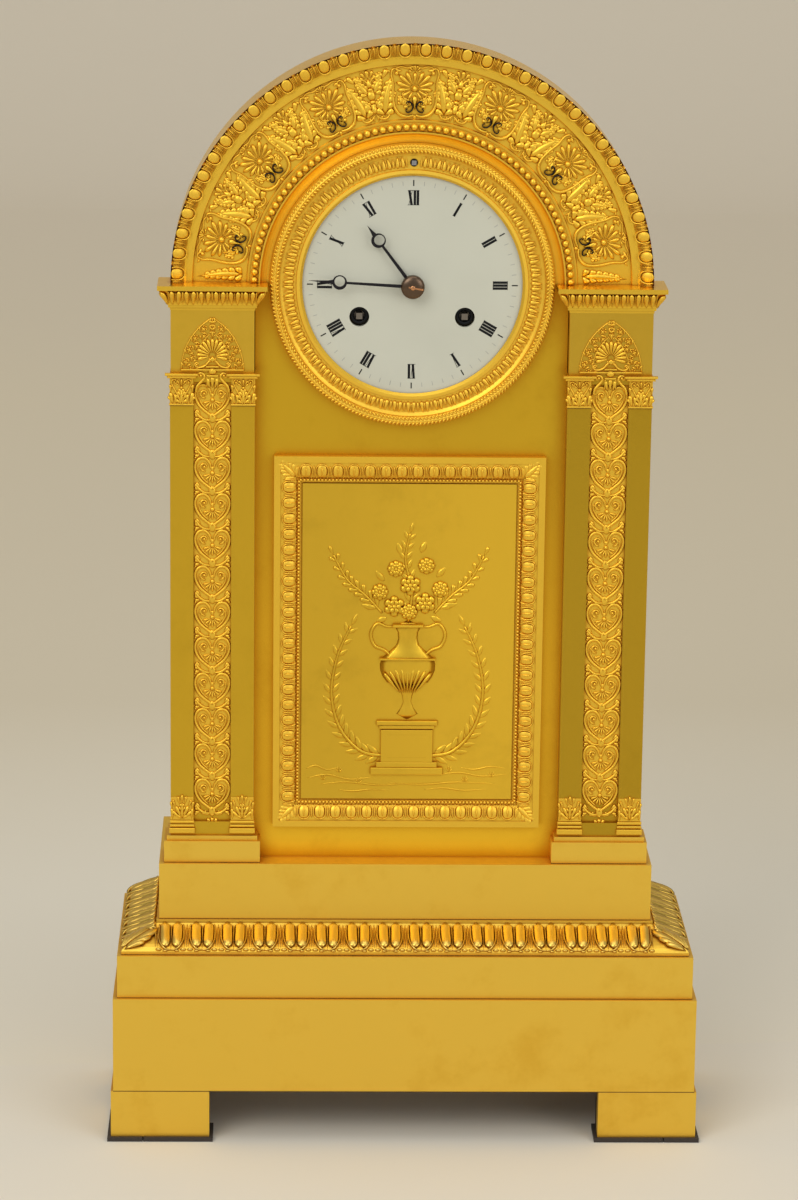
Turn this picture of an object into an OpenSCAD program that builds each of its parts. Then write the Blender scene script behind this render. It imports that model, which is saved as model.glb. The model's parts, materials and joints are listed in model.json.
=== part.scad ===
// Gilt bronze mantel clock with an arched front, a stepped base and a round
// pendulum movement. +X is the clock's left-to-right as seen from the front,
// the front faces -Y, and the origin is at the middle of the footprint.

/* [Base] */
// Width of the lower plinth
plinth_w = 259; // [240:1:280]
// Depth of the lower plinth, front to back
plinth_d = 90; // [86:1:110]
// Thickness of the dark pads under the feet
pad_h = 1.9; // [1:0.1:4]
// How far the pads stand out round the feet
pad_out = 1.6; // [0.5:0.1:3]
// Height of the feet
foot_h = 21.4; // [14:0.2:30]
// Width of a foot on the front
foot_w = 43.8; // [30:0.2:60]
// Length of a front foot along the side
foot_side = 40; // [28:0.5:42]
// Length of a rear foot along the side
rear_foot_side = 22; // [18:0.5:30]
// Thickness of the foot walls
foot_wall = 15; // [8:0.5:17]
// Height of the lower plinth
lower_h = 43.3; // [30:0.1:60]
// Height of the upper plinth
upper_h = 19.5; // [12:0.1:30]
// Step between the two plinths
step_in = 1.9; // [0.5:0.1:4]
// Height of the leaf moulding
moulding_h = 11.4; // [9:0.1:16]
// How far the top of the moulding lies inside its lip
moulding_in = 15.1; // [10:0.1:18]
// Height of the die block above the moulding
die_h = 25.7; // [18:0.1:40]
// Wall of the hollow base castings
base_wall = 3; // [2:0.1:4]

/* [Front] */
// Height of the pilaster pedestals
pedestal_h = 12.1; // [8:0.1:18]
// Height of the pilasters, from pedestal to frieze block
shaft_h = 208.9; // [190:0.1:230]
// Height of the frieze blocks
frieze_h = 27.3; // [24:0.1:36]
// Height of the cornices
cornice_h = 11.2; // [8:0.1:14]
// Width of a pilaster
pilaster_w = 36.7; // [32:0.1:42]
// Distance from the middle of the clock to the middle of a pilaster
pilaster_x = 86.05; // [85:0.05:87]
// How far a pedestal is wider than its pilaster, each side
pedestal_out = 2.9; // [1:0.1:3.6]
// How far a cornice is wider than its pilaster, each side
cornice_out = 5.3; // [3:0.1:6]
// How far a cornice stands out in front of a pilaster
cornice_front = 5.5; // [3:0.1:7]
// Depth of the front castings
front_d = 18; // [16:0.5:20]
// Width of the sunk channel that holds the heart chain
channel_w = 16.4; // [14:0.1:20]
// Depth of that channel
channel_d = 1.6; // [1:0.1:2.5]
// Number of hearts in a chain
hearts = 12; // [8:1:16]
// Thickness of the front plate
front_t = 3; // [2:0.1:4]
// How far the front plate lies behind the pilasters
front_in = 7.65; // [5:0.05:9]

/* [Arch] */
// Outer radius of the arch
arch_r = 104.2; // [103:0.1:106]
// Radius at which the egg and tongue rim starts
rim_r = 97.6; // [96.5:0.1:98.5]
// Inner radius of the ornamented frieze
frieze_r = 70; // [69.8:0.1:72]
// Number of tongues on the arch rim
tongues = 36; // [24:2:44]
// Number of beads round the half circle
beads = 63; // [40:1:70]
// How far the dial axis lies below the top of the cornices
axis_drop = 0.5; // [0:0.1:2]
// Depth of the arch rim, front to back
arch_d = 26; // [20:0.5:30]

/* [Case] */
// How far the barrel behind the arch stands inside the frieze
shell_in = 3.6; // [2.8:0.1:5]
// Thickness of the case sheet
shell_t = 2.5; // [1.5:0.1:3.5]
// Depth of the case behind the front castings
shell_d = 39.1; // [38:0.1:41]
// Thickness of the back plate
back_t = 2.5; // [2:0.1:3.5]
// Radius of the round opening in the back plate
back_hole_r = 56; // [54:0.5:57]
// Radius of the rear door
door_r = 58; // [56.5:0.5:59]

/* [Panel] */
// Width of the panel frame
panel_w = 118.5; // [110:0.5:126]
// Height of the panel frame
panel_h = 168.6; // [150:0.2:180]
// Height of the panel frame above the die block
panel_up = 14.9; // [6:0.1:20]
// Width of the frame's moulding
frame_w = 11.8; // [9:0.1:14]
// Thickness of the frame
frame_t = 3.9; // [3:0.1:5]

/* [Dial] */
// Outer radius of the bezel
bezel_r = 61.5; // [60.5:0.1:61.6]
// Thickness of the bezel
bezel_t = 6; // [5:0.1:8]
// Radius of the enamel that shows
dial_r = 47.5; // [44:0.1:48]
// Thickness of the enamel dial
dial_t = 1.6; // [1.2:0.1:2]
// Distance of each winding hole to the side of the middle
winding_x = 22.8; // [22.6:0.1:23.6]
// Distance of the winding holes below the middle
winding_z = 14; // [12:0.1:15]
// Radius of the winding holes
winding_r = 4.3; // [3.6:0.1:5]
// Height of the regulating arbor above the middle
regulator_z = 53.2; // [52.8:0.1:54]
// Length of the minute hand
minute_l = 44.8; // [40:0.1:46]
// Length of the hour hand
hour_l = 32.9; // [28:0.1:36]
// Angle of the minute hand, clockwise from twelve
minute_a = 273.2; // [0:0.1:360]
// Angle of the hour hand, clockwise from twelve
hour_a = 322.9; // [0:0.1:360]

/* [Movement] */
// Radius of the movement plates
plate_r = 43.5; // [43:0.1:44]
// Thickness of the movement plates
plate_t = 1.8; // [1.5:0.1:2.1]
// Distance between the plates
pillar_l = 22; // [21.8:0.1:22.3]
// Running clearance round each pivot
fit = 0.04; // [0.02:0.01:0.08]
// Teeth of the great wheels
great_n = 64; // [64:1:66]
// Leaves of the pinions that the great wheels drive
second_p = 10; // [10:1:10]
// Teeth of the second wheels
second_n = 60; // [58:1:62]
// Teeth of the centre wheel
centre_n = 84; // [82:1:85]
// Teeth of the third wheel
third_n = 84; // [82:1:85]
// Teeth of the escape wheel
escape_n = 30; // [24:2:34]
// Radius of the bell
bell_r = 26; // [22:0.5:26]
// Distance from the suspension to the middle of the bob
pendulum_l = 170; // [150:1:180]
// Radius of the pendulum bob
bob_r = 20; // [14:0.5:24]

/* [Hidden] */

gilt = "#c89a2e";
bronze = "#a9781f";
brass = "#c2a35a";
steel = "#5b6068";
enamel = "#e9e6dc";
leather = "#2b2320";

// Heights, from the floor up
z_foot = pad_h;
z_lower = z_foot + foot_h;
z_upper = z_lower + lower_h;
z_mould = z_upper + upper_h;
z_die = z_mould + moulding_h;
z_ped = z_die + die_h;
z_shaft = z_ped + pedestal_h;
z_frieze = z_shaft + shaft_h;
z_cornice = z_frieze + frieze_h;
z_top = z_cornice + cornice_h;
z_axis = z_top - axis_drop;

// Planes, from the front to the back
base_front = -plinth_d / 2;
base_back = plinth_d / 2;
lip_in = 2 * step_in;
die_in = lip_in + moulding_in + 1.1;
die_front = base_front + die_in;
pedestal_front = die_front + 1.9;
pilaster_front = pedestal_front + 2.4;
plate_front = pilaster_front + front_in;
plate_back = plate_front + front_t;
cast_back = pilaster_front + front_d;
shell_back = cast_back + shell_d;
back_y = shell_back + back_t;
cornice_y = pilaster_front - cornice_front;

// Half widths
plinth_x = plinth_w / 2;
upper_x = plinth_x - step_in;
lip_x = plinth_x - lip_in;
die_x = plinth_x - die_in;
pilaster_in = pilaster_x - pilaster_w / 2;
pilaster_out = pilaster_x + pilaster_w / 2;

// Dial and movement planes
bezel_front = plate_front - bezel_t;
dial_edge = plate_front - 0.1;
dial_front = dial_edge - dial_t;
dome = 0.9;
seat_r = dial_r + 2.7;
hole_r = seat_r;
backing_t = 1;
backing_back = dial_edge + backing_t;
motion_gap = 6.6;
front_plate_y = backing_back + motion_gap;
inner_y = front_plate_y + plate_t;
rear_plate_y = inner_y + pillar_l;
outer_y = rear_plate_y + plate_t;
rod_y = outer_y + 7.4;
cock_y = outer_y + 2.9;
cock_t = 1.5;

// Rear bezel and door
ring_t = 2.2;
ring_in = 45;
ring_out = 62;
ring_back = back_y + ring_t;
door_y = ring_back + 0.3;
door_t = 1.2;
hinge_x = -64.2;
hinge_y = ring_back + 0.8;
knuckle_r = 1.5;
knuckle_l = 11.6;
pin_r = 0.7;

// Tooth forms, as shares of the module or of the pitch
addendum = 0.6;
dedendum = 0.95;
tip_share = 0.09;
root_share = 0.22;
pivot_r = 0.5;
arbor_r = 0.7;
shell_r = rim_r - shell_in;
bolt_dx = [-13, 5];

// Wheel centres, seen from the front, from the dial's middle
function polar(r, a) = [r * cos(a), r * sin(a)];
function norm2(p) = sqrt(p[0] * p[0] + p[1] * p[1]);
function angle_to(p, q) = atan2(q[1] - p[1], q[0] - p[0]);
// Point at distance a from p and b from q, on the given side of the line p-q
function meet(p, a, q, b, side) =
    let (d = norm2(q - p), t = (d * d + a * a - b * b) / (2 * d), h = sqrt(a * a - t * t),
         u = (q - p) / d)
    p + u * t + side * h * [-u[1], u[0]];
// Tooth angle of wheel b that meshes with wheel a, whose tooth angle is ph
function mesh(na, ph, nb, dir) = dir + 180 + 180 / nb + (dir - ph) * na / nb;
function gap_of(m, na, nb) = m * (na + nb) / 2;

great_m = 0.5;
second_m = 0.45;
centre_m = 0.34;
third_m = 0.3;
fine_m = 0.35;
centre_p = 10;
third_p = 7;
escape_p = 7;
pin_n = 54;
pin_p = 8;
locking_n = 48;
locking_p = 8;
locking_m = 0.3;
fly_p = 8;
cannon_n = 12;
minute_n = 36;
minute_m = 0.5;
minute_p = 10;
hour_n = 40;

C = [0, 0];
G = [winding_x, -winding_z];
S = [-winding_x, -winding_z];
great_gap = gap_of(great_m, great_n, second_p);
I = meet(G, great_gap, C, gap_of(second_m, second_n, centre_p), 1);
E = [0, 23];
T = meet(C, gap_of(centre_m, centre_n, third_p), E, gap_of(third_m, third_n, escape_p), -1);
A = E + [0, 13];
S2 = S + polar(great_gap, 94);
P = S2 + polar(gap_of(second_m, second_n, pin_p), 46);
L = P + polar(gap_of(fine_m, pin_n, locking_p), 100);
F = L + polar(gap_of(locking_m, locking_n, fly_p), 200);
M = polar(gap_of(minute_m, cannon_n, minute_n), 135);
hour_m = 2 * norm2(M) / (minute_p + hour_n);
H = [-33.5, 19.5];

// Tooth angles
ph_great = 0;
ph_i_pinion = mesh(great_n, ph_great, second_p, angle_to(G, I));
ph_i_wheel = 0;
ph_c_pinion = mesh(second_n, ph_i_wheel, centre_p, angle_to(I, C));
ph_t_pinion = mesh(centre_n, 0, third_p, angle_to(C, T));
ph_e_pinion = mesh(third_n, 0, escape_p, angle_to(T, E));
ph_s2_pinion = mesh(great_n, ph_great, second_p, angle_to(S, S2));
ph_p_pinion = mesh(second_n, 0, pin_p, angle_to(S2, P));
ph_l_pinion = mesh(pin_n, 0, locking_p, angle_to(P, L));
ph_f_pinion = mesh(locking_n, 0, fly_p, angle_to(L, F));
ph_m_wheel = mesh(cannon_n, 0, minute_n, angle_to(C, M));
ph_h_wheel = mesh(minute_p, 0, hour_n, angle_to(M, C));

// Layers of the movement, as distances behind the front plate's inner face
y_front_wheel = inner_y + 1.2;
y_drum = inner_y + 3.2;
drum_l = 13;
y_great = y_drum + drum_l;
y_centre = y_great + 3.1;
great_t = 2;
wheel_t = 1.1;

// A rod along Y at (x, z)
module rod(p, y0, y1, r, fn = 40) {
    translate([p[0], y1, p[1]]) rotate([90, 0, 0]) cylinder(r = r, h = y1 - y0, $fn = fn);
}

// A flat shape in the X-Z plane, between two depths
module slab(p, y0, y1) {
    translate([p[0], y1, p[1]]) rotate([90, 0, 0]) linear_extrude(y1 - y0) children();
}

// A rod about the dial axis frame
module drod(p, y0, y1, r, fn = 40) {
    rod([p[0], z_axis + p[1]], y0, y1, r, fn);
}

module dslab(p, y0, y1) {
    slab([p[0], z_axis + p[1]], y0, y1) children();
}

// A turned form about the dial axis; the profile gives radius and depth in front of y = 0
module turned(profile, a = 360) {
    translate([0, 0, z_axis]) rotate([90, 0, 0])
        rotate_extrude(angle = a, $fn = 120) polygon(profile);
}

// A box between two corners
module block(a, b) {
    translate(a) cube(b - a);
}

// A cut wheel or pinion
module toothed(n, m, ph) {
    rp = m * n / 2;
    r = [rp - dedendum * m, rp + addendum * m];
    w = [-root_share, -tip_share, tip_share, root_share] * 360 / n;
    polygon([for (i = [0:n - 1]) for (k = [0:3])
        (k == 0 || k == 3 ? r[0] : r[1]) * [cos(ph + 360 * i / n + w[k]), sin(ph + 360 * i / n + w[k])]]);
}

// Openings between the spokes of a wheel
module crossings(r_out, r_in, spokes, w) {
    difference() {
        circle(r_out, $fn = 60);
        circle(r_in, $fn = 30);
        for (i = [0:spokes - 1]) rotate(360 * i / spokes) translate([0, -w / 2]) square([r_out + 1, w]);
    }
}

module wheel(p, y0, t, n, m, ph, spokes = 4) {
    dslab(p, y0, y0 + t) difference() {
        toothed(n, m, ph);
        crossings(m * n / 2 - 2.2 * m - 0.6, 2.6, spokes, 1.4);
    }
}

module pinion(p, y0, y1, n, m, ph) {
    dslab(p, y0, y1) toothed(n, m, ph);
}

// An arbor with a pivot in each plate
module arbor(p) {
    drod(p, inner_y + 0.2, rear_plate_y - 0.2, arbor_r);
    drod(p, front_plate_y, outer_y, pivot_r, 24);
}

module foot_outline(side, out) {
    w = foot_wall + 2 * out;
    difference() {
        translate([-out, -out]) square([foot_w + 2 * out, side + 2 * out]);
        translate([w - out, w - out]) square([foot_w + side, foot_w + side]);
    }
}

// The four feet, or their pads, as corner brackets
module corner_brackets(z, h, out) {
    for (s = [-1, 1]) {
        translate([0, 0, z]) scale([s, 1, 1]) translate([plinth_x + 1.1, base_front, 0])
            scale([-1, 1, 1]) linear_extrude(h) foot_outline(foot_side, out);
        translate([0, 0, z]) scale([s, 1, 1]) translate([plinth_x + 1.1, base_back, 0])
            scale([-1, -1, 1]) linear_extrude(h) foot_outline(rear_foot_side, out);
    }
}

module foot_pads() {
    color(leather) difference() {
        corner_brackets(0, pad_h, pad_out);
        for (s = [-1, 1]) translate([s * (plinth_x - 13.2), base_front, pad_h / 2])
            cube([0.5, 8, 2 * pad_h], center = true);
    }
}

module feet() {
    color(gilt) corner_brackets(z_foot, foot_h, 0);
}

module lower_plinth() {
    color(gilt) difference() {
        block([-plinth_x, base_front, z_lower], [plinth_x, base_back, z_upper]);
        block([-plinth_x + base_wall, base_front + base_wall, z_lower - 1],
              [plinth_x - base_wall, base_back - base_wall, z_upper - base_wall]);
    }
}

module upper_plinth() {
    color(gilt) difference() {
        block([-upper_x, base_front + step_in, z_upper], [upper_x, base_back, z_mould]);
        block([-upper_x + base_wall, base_front + step_in + base_wall, z_upper - 1],
              [upper_x - base_wall, base_back - base_wall, z_mould + 1]);
    }
}

// Outline of the leaf moulding: inset from the lip against height
function ogee(n) = [for (i = [0:n])
    let (t = i / n) [moulding_in * (t - sin(360 * t) / 9), lip_h + (moulding_h - lip_h - 1.6) * t]];
lip_h = 1.6;
moulding_steps = 10;
moulding_line = concat([[0, 0], [0, lip_h]], ogee(moulding_steps), [[moulding_in, moulding_h]]);

module base_moulding() {
    lip_y = base_front + lip_in;
    line = moulding_line;
    n = len(line) - 1;
    color(gilt) difference() {
        intersection() {
            translate([0, base_back, z_mould]) rotate([90, 0, 0]) linear_extrude(plinth_d)
                polygon(concat([for (p = line) [-lip_x + p[0], p[1]]],
                               [for (i = [n:-1:0]) [lip_x - line[i][0], line[i][1]]]));
            translate([-plinth_x, 0, z_mould]) rotate([90, 0, 90]) linear_extrude(plinth_w)
                polygon(concat([for (p = line) [lip_y + p[0], p[1]]],
                               [[base_back, moulding_h], [base_back, 0]]));
        }
        block([-die_x + base_wall, die_front + base_wall, z_mould - 1],
              [die_x - base_wall, base_back - base_wall, z_die + 1]);
    }
}

module die_block() {
    color(gilt) difference() {
        block([-die_x, die_front, z_die], [die_x, base_back, z_ped]);
        block([-die_x + base_wall, die_front + base_wall, z_die - 1],
              [die_x - base_wall, base_back - base_wall, z_ped - base_wall]);
        base_bolts(screw_r + fit, 20);
    }
}

// Screws: shank radius, head radius and head height
screw_r = 1.6;
head_r = 3.4;
head_h = 2;
bolt_y = pilaster_front + front_d / 2;

// The bolts that hold the pedestals down on the die block
module base_bolts(r, l) {
    for (s = [-1, 1]) for (dx = bolt_dx)
        translate([s * (pilaster_x + dx), bolt_y, z_ped + 9 - l]) cylinder(r = r, h = l, $fn = 24);
}

module pedestal(s) {
    x = s * pilaster_x;
    w = pilaster_w / 2 + pedestal_out;
    ledge = 2.2;
    color(gilt) difference() {
        union() {
            block([x - w, pedestal_front, z_ped], [x + w, cast_back, z_shaft - ledge]);
            block([x - w + 1.2, pedestal_front + 1.2, z_shaft - ledge], [x + w - 1.2, cast_back, z_shaft]);
        }
        base_bolts(screw_r + fit, 9.2);
        plate_recess(z_ped - 1, z_shaft + 1);
    }
}

// Room for the front plate behind the inner end of a pedestal or a cornice
module plate_recess(z0, z1) {
    block([-pilaster_in, plate_front, z0], [pilaster_in, cast_back + 1, z1]);
}

// The casting is cored out from behind, where the case covers it
module core_out(s, w, z0, z1) {
    a = pilaster_x - w + 3;
    b = shell_r - 2;
    block([s > 0 ? a : -b, pilaster_front + 5, z0], [s > 0 ? b : -a, cast_back + 1, z1]);
}

// A pilaster with two raised strips and a sunk channel between them
module pilaster(s) {
    x = s * pilaster_x;
    w = pilaster_w / 2;
    c = channel_w / 2;
    color(gilt) difference() {
        block([x - w, pilaster_front, z_shaft], [x + w, cast_back, z_frieze]);
        block([x - c, pilaster_front - 1, z_shaft + base_band], [x + c, pilaster_front + channel_d, z_frieze - cap_band]);
        core_out(s, w, z_shaft + 3, z_frieze - 3);
    }
}
base_band = 6.2;
cap_band = 4;

// A heart lying in the X-Z plane, point down, as wide as w
module heart(w) {
    a = w / (1 + 2.4142) * 1.414;
    translate([0, -a * 0.35]) rotate(45) {
        square(a, center = true);
        translate([0, a / 2]) circle(a / 2, $fn = 24);
        translate([a / 2, 0]) circle(a / 2, $fn = 24);
    }
}

chain_up = 18.3;

module heart_chains() {
    z0 = z_shaft + chain_up;
    pitch = (z_frieze - 12.5 - z0) / (hearts - 1);
    w = channel_w - 1.8;
    y0 = pilaster_front + 0.4;
    y1 = pilaster_front + channel_d;
    color(bronze) for (s = [-1, 1]) for (i = [0:hearts - 1])
        slab([s * pilaster_x, z0 + pitch * i], y0, y1) {
            difference() {
                heart(w);
                heart(w - 4);
            }
            translate([0, -w * 0.46]) petal(w * 0.62, 2.6, 90);
        }
}

// A leaf-shaped outline that starts at the origin
module petal(l, w, a, n = 8) {
    rotate(a) polygon(concat(
        [for (i = [0:n]) [l * i / n, w / 2 * pow(sin(180 * i / n), 0.8)]],
        [for (i = [n - 1:-1:1]) [l * i / n, -w / 2 * pow(sin(180 * i / n), 0.8)]]));
}

// Leaves at the foot of each channel, parted by the point of the lowest heart
module pilaster_bases() {
    y1 = pilaster_front + channel_d;
    color(bronze) for (s = [-1, 1]) slab([s * pilaster_x, z_shaft + base_band], pilaster_front - 0.6, y1) {
        translate([-channel_w / 2, 0]) square([channel_w, 1.6]);
        difference() {
            for (k = [-2:2]) petal(11 - abs(k), 4.2, 90 - k * 22);
            translate([0, chain_up - base_band]) heart(channel_w - 1.4);
        }
    }
}

// The abacus, and the row of leaves under it, at the head of each pilaster
module capitals() {
    leaf = pilaster_w / 6;
    h = 11;
    color(bronze) for (s = [-1, 1]) {
        x = s * pilaster_x;
        w = pilaster_w / 2;
        block([x - w - 0.9, pilaster_front - 1.5, z_frieze - 2.4], [x + w + 0.9, pilaster_front, z_frieze - 0.2]);
        slab([x, z_frieze - 2.4 - h], pilaster_front - 1, pilaster_front)
            for (k = [-1, 1]) for (i = [0:1])
                translate([k * (w - leaf / 2 - i * leaf * 0.78), 0]) petal(h, leaf * 0.74, 90);
    }
}

module frieze_block(s) {
    x = s * pilaster_x;
    w = pilaster_w / 2 - 0.3;
    color(gilt) difference() {
        block([x - w, pilaster_front + 0.3, z_frieze], [x + w, cast_back, z_cornice]);
        core_out(s, w, z_frieze + 2, z_cornice - 2);
    }
}

// A pointed arch outline, w wide and h high
module pointed_arch(w, h) {
    r = (w * w / 4 + h * h) / w;
    intersection() {
        translate([r - w / 2, 0]) circle(r, $fn = 96);
        translate([w / 2 - r, 0]) circle(r, $fn = 96);
        translate([-w, 0]) square([2 * w, 2 * h]);
    }
}

module lunettes() {
    w = pilaster_w - 9;
    h = frieze_h - 3.6;
    border = 3;
    y1 = pilaster_front + 0.3;
    color(bronze) for (s = [-1, 1]) {
        slab([s * pilaster_x, z_frieze + 1], y1 - 1, y1) difference() {
            pointed_arch(w, h);
            translate([0, border * 0.6]) pointed_arch(w - 2 * border, h - 2 * border);
        }
        slab([s * pilaster_x, z_frieze + 2.8], y1 - 0.9, y1)
            for (k = [-3:3]) petal(h * 0.62 - 1.1 * abs(k), 3.1, 90 - 24 * k);
    }
}

// Cornice outline: how far it has grown from its foot, against height
function cornice_line(out) = [[0, 0], [0, 1.2], [0.14, 1.2], [0.14, 2.4],
    for (i = [0:5]) let (t = i / 5) [0.2 + 0.66 * (1 - cos(90 * t)), 2.4 + (cornice_h - 4.4) * t],
    [1, cornice_h - 2], [1, cornice_h]];

module cornice(s) {
    x = s * pilaster_x;
    w = pilaster_w / 2;
    side = [for (p = cornice_line(1)) [p[0] * cornice_out, p[1]]];
    front = [for (p = cornice_line(1)) [p[0] * (cornice_front - 0.3), p[1]]];
    n = len(side) - 1;
    color(gilt) difference() {
        intersection() {
            translate([x, cast_back, z_cornice]) rotate([90, 0, 0]) linear_extrude(front_d + 20)
                polygon(concat([for (p = side) [-w - p[0], p[1]]],
                               [for (i = [n:-1:0]) [w + side[i][0], side[i][1]]]));
            translate([x - w - 10, 0, z_cornice]) rotate([90, 0, 90]) linear_extrude(pilaster_w + 20)
                polygon(concat([for (p = front) [pilaster_front + 0.3 - p[0], p[1]]],
                               [[cast_back, cornice_h], [cast_back, 0]]));
        }
        plate_recess(z_cornice - 1, z_top + 1);
    }
}

// Front plate: a straight field between the pilasters and a half disc above
module front_plate() {
    color(gilt) difference() {
        union() {
            block([-pilaster_in, plate_front, z_ped], [pilaster_in, plate_back, z_top]);
            intersection() {
                drod(C, plate_front, plate_back, frieze_r - 3.4, 120);
                block([-plinth_x, plate_front, z_top], [plinth_x, plate_back, z_top + 2 * arch_r]);
            }
        }
        drod(C, plate_front - 1, plate_back + 1, hole_r, 120);
        drod([0, regulator_z], plate_front - 1, plate_back + 1, 2.6);
        for (a = screw_angles) drod(polar(screw_ring, a), plate_front - 1, plate_back + 1, 1.2 + fit, 24);
        for (p = panel_screws) rod(p, plate_front - 1, plate_back + 1, 1.2 + fit, 24);
    }
}
screw_angles = [45, 135, 225, 315];
screw_ring = bezel_r - 4;
panel_z = z_ped + panel_up;
panel_screws = [for (s = [-1, 1]) for (z = [panel_z + 30, panel_z + panel_h - 30])
    [s * (panel_w / 2 - frame_w / 2), z]];

// Flat above the cornices: cuts the half rings where they stand
module above_cornice() {
    difference() {
        children();
        block([-2 * arch_r, -2 * arch_r, z_axis - 2 * arch_r], [2 * arch_r, 2 * arch_r, z_top]);
    }
}

// The half ring that carries the leaf frieze
module arch_frieze() {
    f = -plate_front;
    b = -cast_back;
    color(bronze) above_cornice() turned([
        [frieze_r, f + 0.6], [frieze_r + 1.2, f + 0.6], [frieze_r + 1.6, f],
        [rim_r - 3, f], [rim_r - 2.6, f + 1.4], [rim_r, f + 1.4],
        [rim_r, b], [shell_r - shell_t, b], [shell_r - shell_t, f - 5], [frieze_r, f - 5]]);
}

// The flaring rim, cut into tongues
module arch_rim() {
    f = -plate_front;
    color(gilt) above_cornice() difference() {
        turned([
            [rim_r, f + 1.4], [rim_r + 0.8, f + 1.8],
            for (i = [0:5]) let (a = 90 * i / 5)
                [rim_r + 1.4 + (arch_r - rim_r - 1.4) * sin(a), f + 1.8 + 2.4 * (1 - cos(a))],
            [arch_r, f + 4.2 - arch_d], [arch_r - 2.5, f + 4.2 - arch_d], [arch_r - 2.5, f - 4], [rim_r, f - 4]]);
        for (i = [0:tongues]) translate([0, plate_front - 3.4, z_axis]) rotate([0, -180 * i / tongues, 0])
            translate([rim_r + 2, 0, 0]) rotate([0, 90, 0]) cylinder(r = 0.9, h = 9, $fn = 16);
    }
}

// Beads on a fillet, with a hollow that falls to the bezel
module bead_ring() {
    f = -plate_front;
    bead_at = frieze_r - 1.75;
    bead_size = PI * bead_at / beads / 2 - 0.12;
    color(bronze) above_cornice() union() {
        turned([
            [bezel_r + 0.1, f], [bezel_r + 0.1, f + 0.4],
            for (i = [0:5]) let (a = 90 * i / 5)
                [bezel_r + 0.1 + (frieze_r - 4.4 - bezel_r) * sin(a), f + 0.4 + 2.2 * (1 - cos(a))],
            [frieze_r - 3.6, f + 2.6], [frieze_r - 3.4, f + 1.6], [frieze_r, f + 1.6], [frieze_r, f - 3],
            [frieze_r - 3.4, f - 3], [frieze_r - 3.4, f]]);
        for (i = [0:beads - 1]) translate([0, plate_front - 1.8, z_axis])
            rotate([0, -180 * (i + 0.5) / beads, 0]) translate([bead_at, 0, 0]) sphere(bead_size, $fn = 20);
    }
}

// Sheet sides and barrel top behind the front castings
module case_shell() {
    color(brass) difference() {
        union() {
            block([-shell_r, cast_back, z_ped], [shell_r, shell_back, z_axis]);
            drod(C, cast_back, shell_back, shell_r, 120);
        }
        block([-shell_r + shell_t, cast_back - 1, z_ped - 1], [shell_r - shell_t, shell_back + 1, z_axis]);
        drod(C, cast_back - 1, shell_back + 1, shell_r - shell_t, 120);
    }
}

module back_plate() {
    color(brass) difference() {
        union() {
            block([-shell_r, shell_back, z_ped], [shell_r, back_y, z_axis]);
            drod(C, shell_back, back_y, shell_r, 120);
        }
        drod(C, shell_back - 1, back_y + 1, back_hole_r, 120);
    }
}

hinge_len = knuckle_l + 0.4;
fixed_l = 6;

// Vertical knuckle of the door hinge
module knuckle(z0, l, bore) {
    difference() {
        translate([hinge_x, hinge_y, z_axis + z0]) cylinder(r = knuckle_r, h = l, $fn = 32);
        translate([hinge_x, hinge_y, z_axis + z0 - 1]) cylinder(r = bore, h = l + 2, $fn = 32);
    }
}

module rear_bezel() {
    color(gilt) {
        difference() {
            drod(C, back_y, ring_back, ring_out, 120);
            drod(C, back_y - 1, ring_back + 1, ring_in, 120);
            for (s = [-1, 1]) drod([s * strap_x, 0], back_y - 1, ring_back + 1, 1.2 + fit, 24);
            for (s = [-1, 1]) drod([s * strap_x, 0], ring_back - 1, ring_back + 1, 2.6, 24);
        }
        for (z0 = [-hinge_len / 2 - fixed_l, hinge_len / 2]) {
            knuckle(z0, fixed_l, pin_r + fit / 2);
            difference() {
                block([hinge_x, back_y + 0.4, z_axis + z0], [-ring_out + 2.2, hinge_y - 0.4, z_axis + z0 + fixed_l]);
                translate([hinge_x, hinge_y, z_axis + z0 - 1]) cylinder(r = pin_r + 0.3, h = fixed_l + 2, $fn = 32);
            }
        }
    }
}

latch_p = polar(ring_in - 4, -30);
latch_r = 1.2;

// Shallow domed door that hangs on the knuckles
module rear_door() {
    y0 = -door_y;
    color(gilt) {
        difference() {
            turned([
                [0, y0 - door_t - 1.8], [10, y0 - door_t - 1.7], [24, y0 - door_t - 1.2], [38, y0 - door_t - 0.3],
                [44, y0 - door_t], [door_r, y0 - door_t], [door_r, y0], [44, y0], [38, y0 - 0.3],
                [24, y0 - 1.2], [10, y0 - 1.7], [0, y0 - 1.8]]);
            drod(latch_p, door_y - 1, door_y + 5, latch_r + fit, 24);
        }
        knuckle(-knuckle_l / 2, knuckle_l, pin_r + fit);
        difference() {
            block([hinge_x, door_y, z_axis - knuckle_l / 2], [-door_r + 1.2, door_y + door_t, z_axis + knuckle_l / 2]);
            translate([hinge_x, hinge_y, z_axis - knuckle_l]) cylinder(r = pin_r + fit, h = 2 * knuckle_l, $fn = 32);
            drod(C, door_y - 1, door_y + 5, door_r, 120);
        }
    }
}

module hinge_pin() {
    color(steel) {
        translate([hinge_x, hinge_y, z_axis - hinge_len / 2 - fixed_l]) cylinder(r = pin_r, h = hinge_len + 2 * fixed_l, $fn = 32);
        translate([hinge_x, hinge_y, z_axis + hinge_len / 2 + fixed_l]) cylinder(r = 1.3, h = 1, $fn = 32);
    }
}

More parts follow.
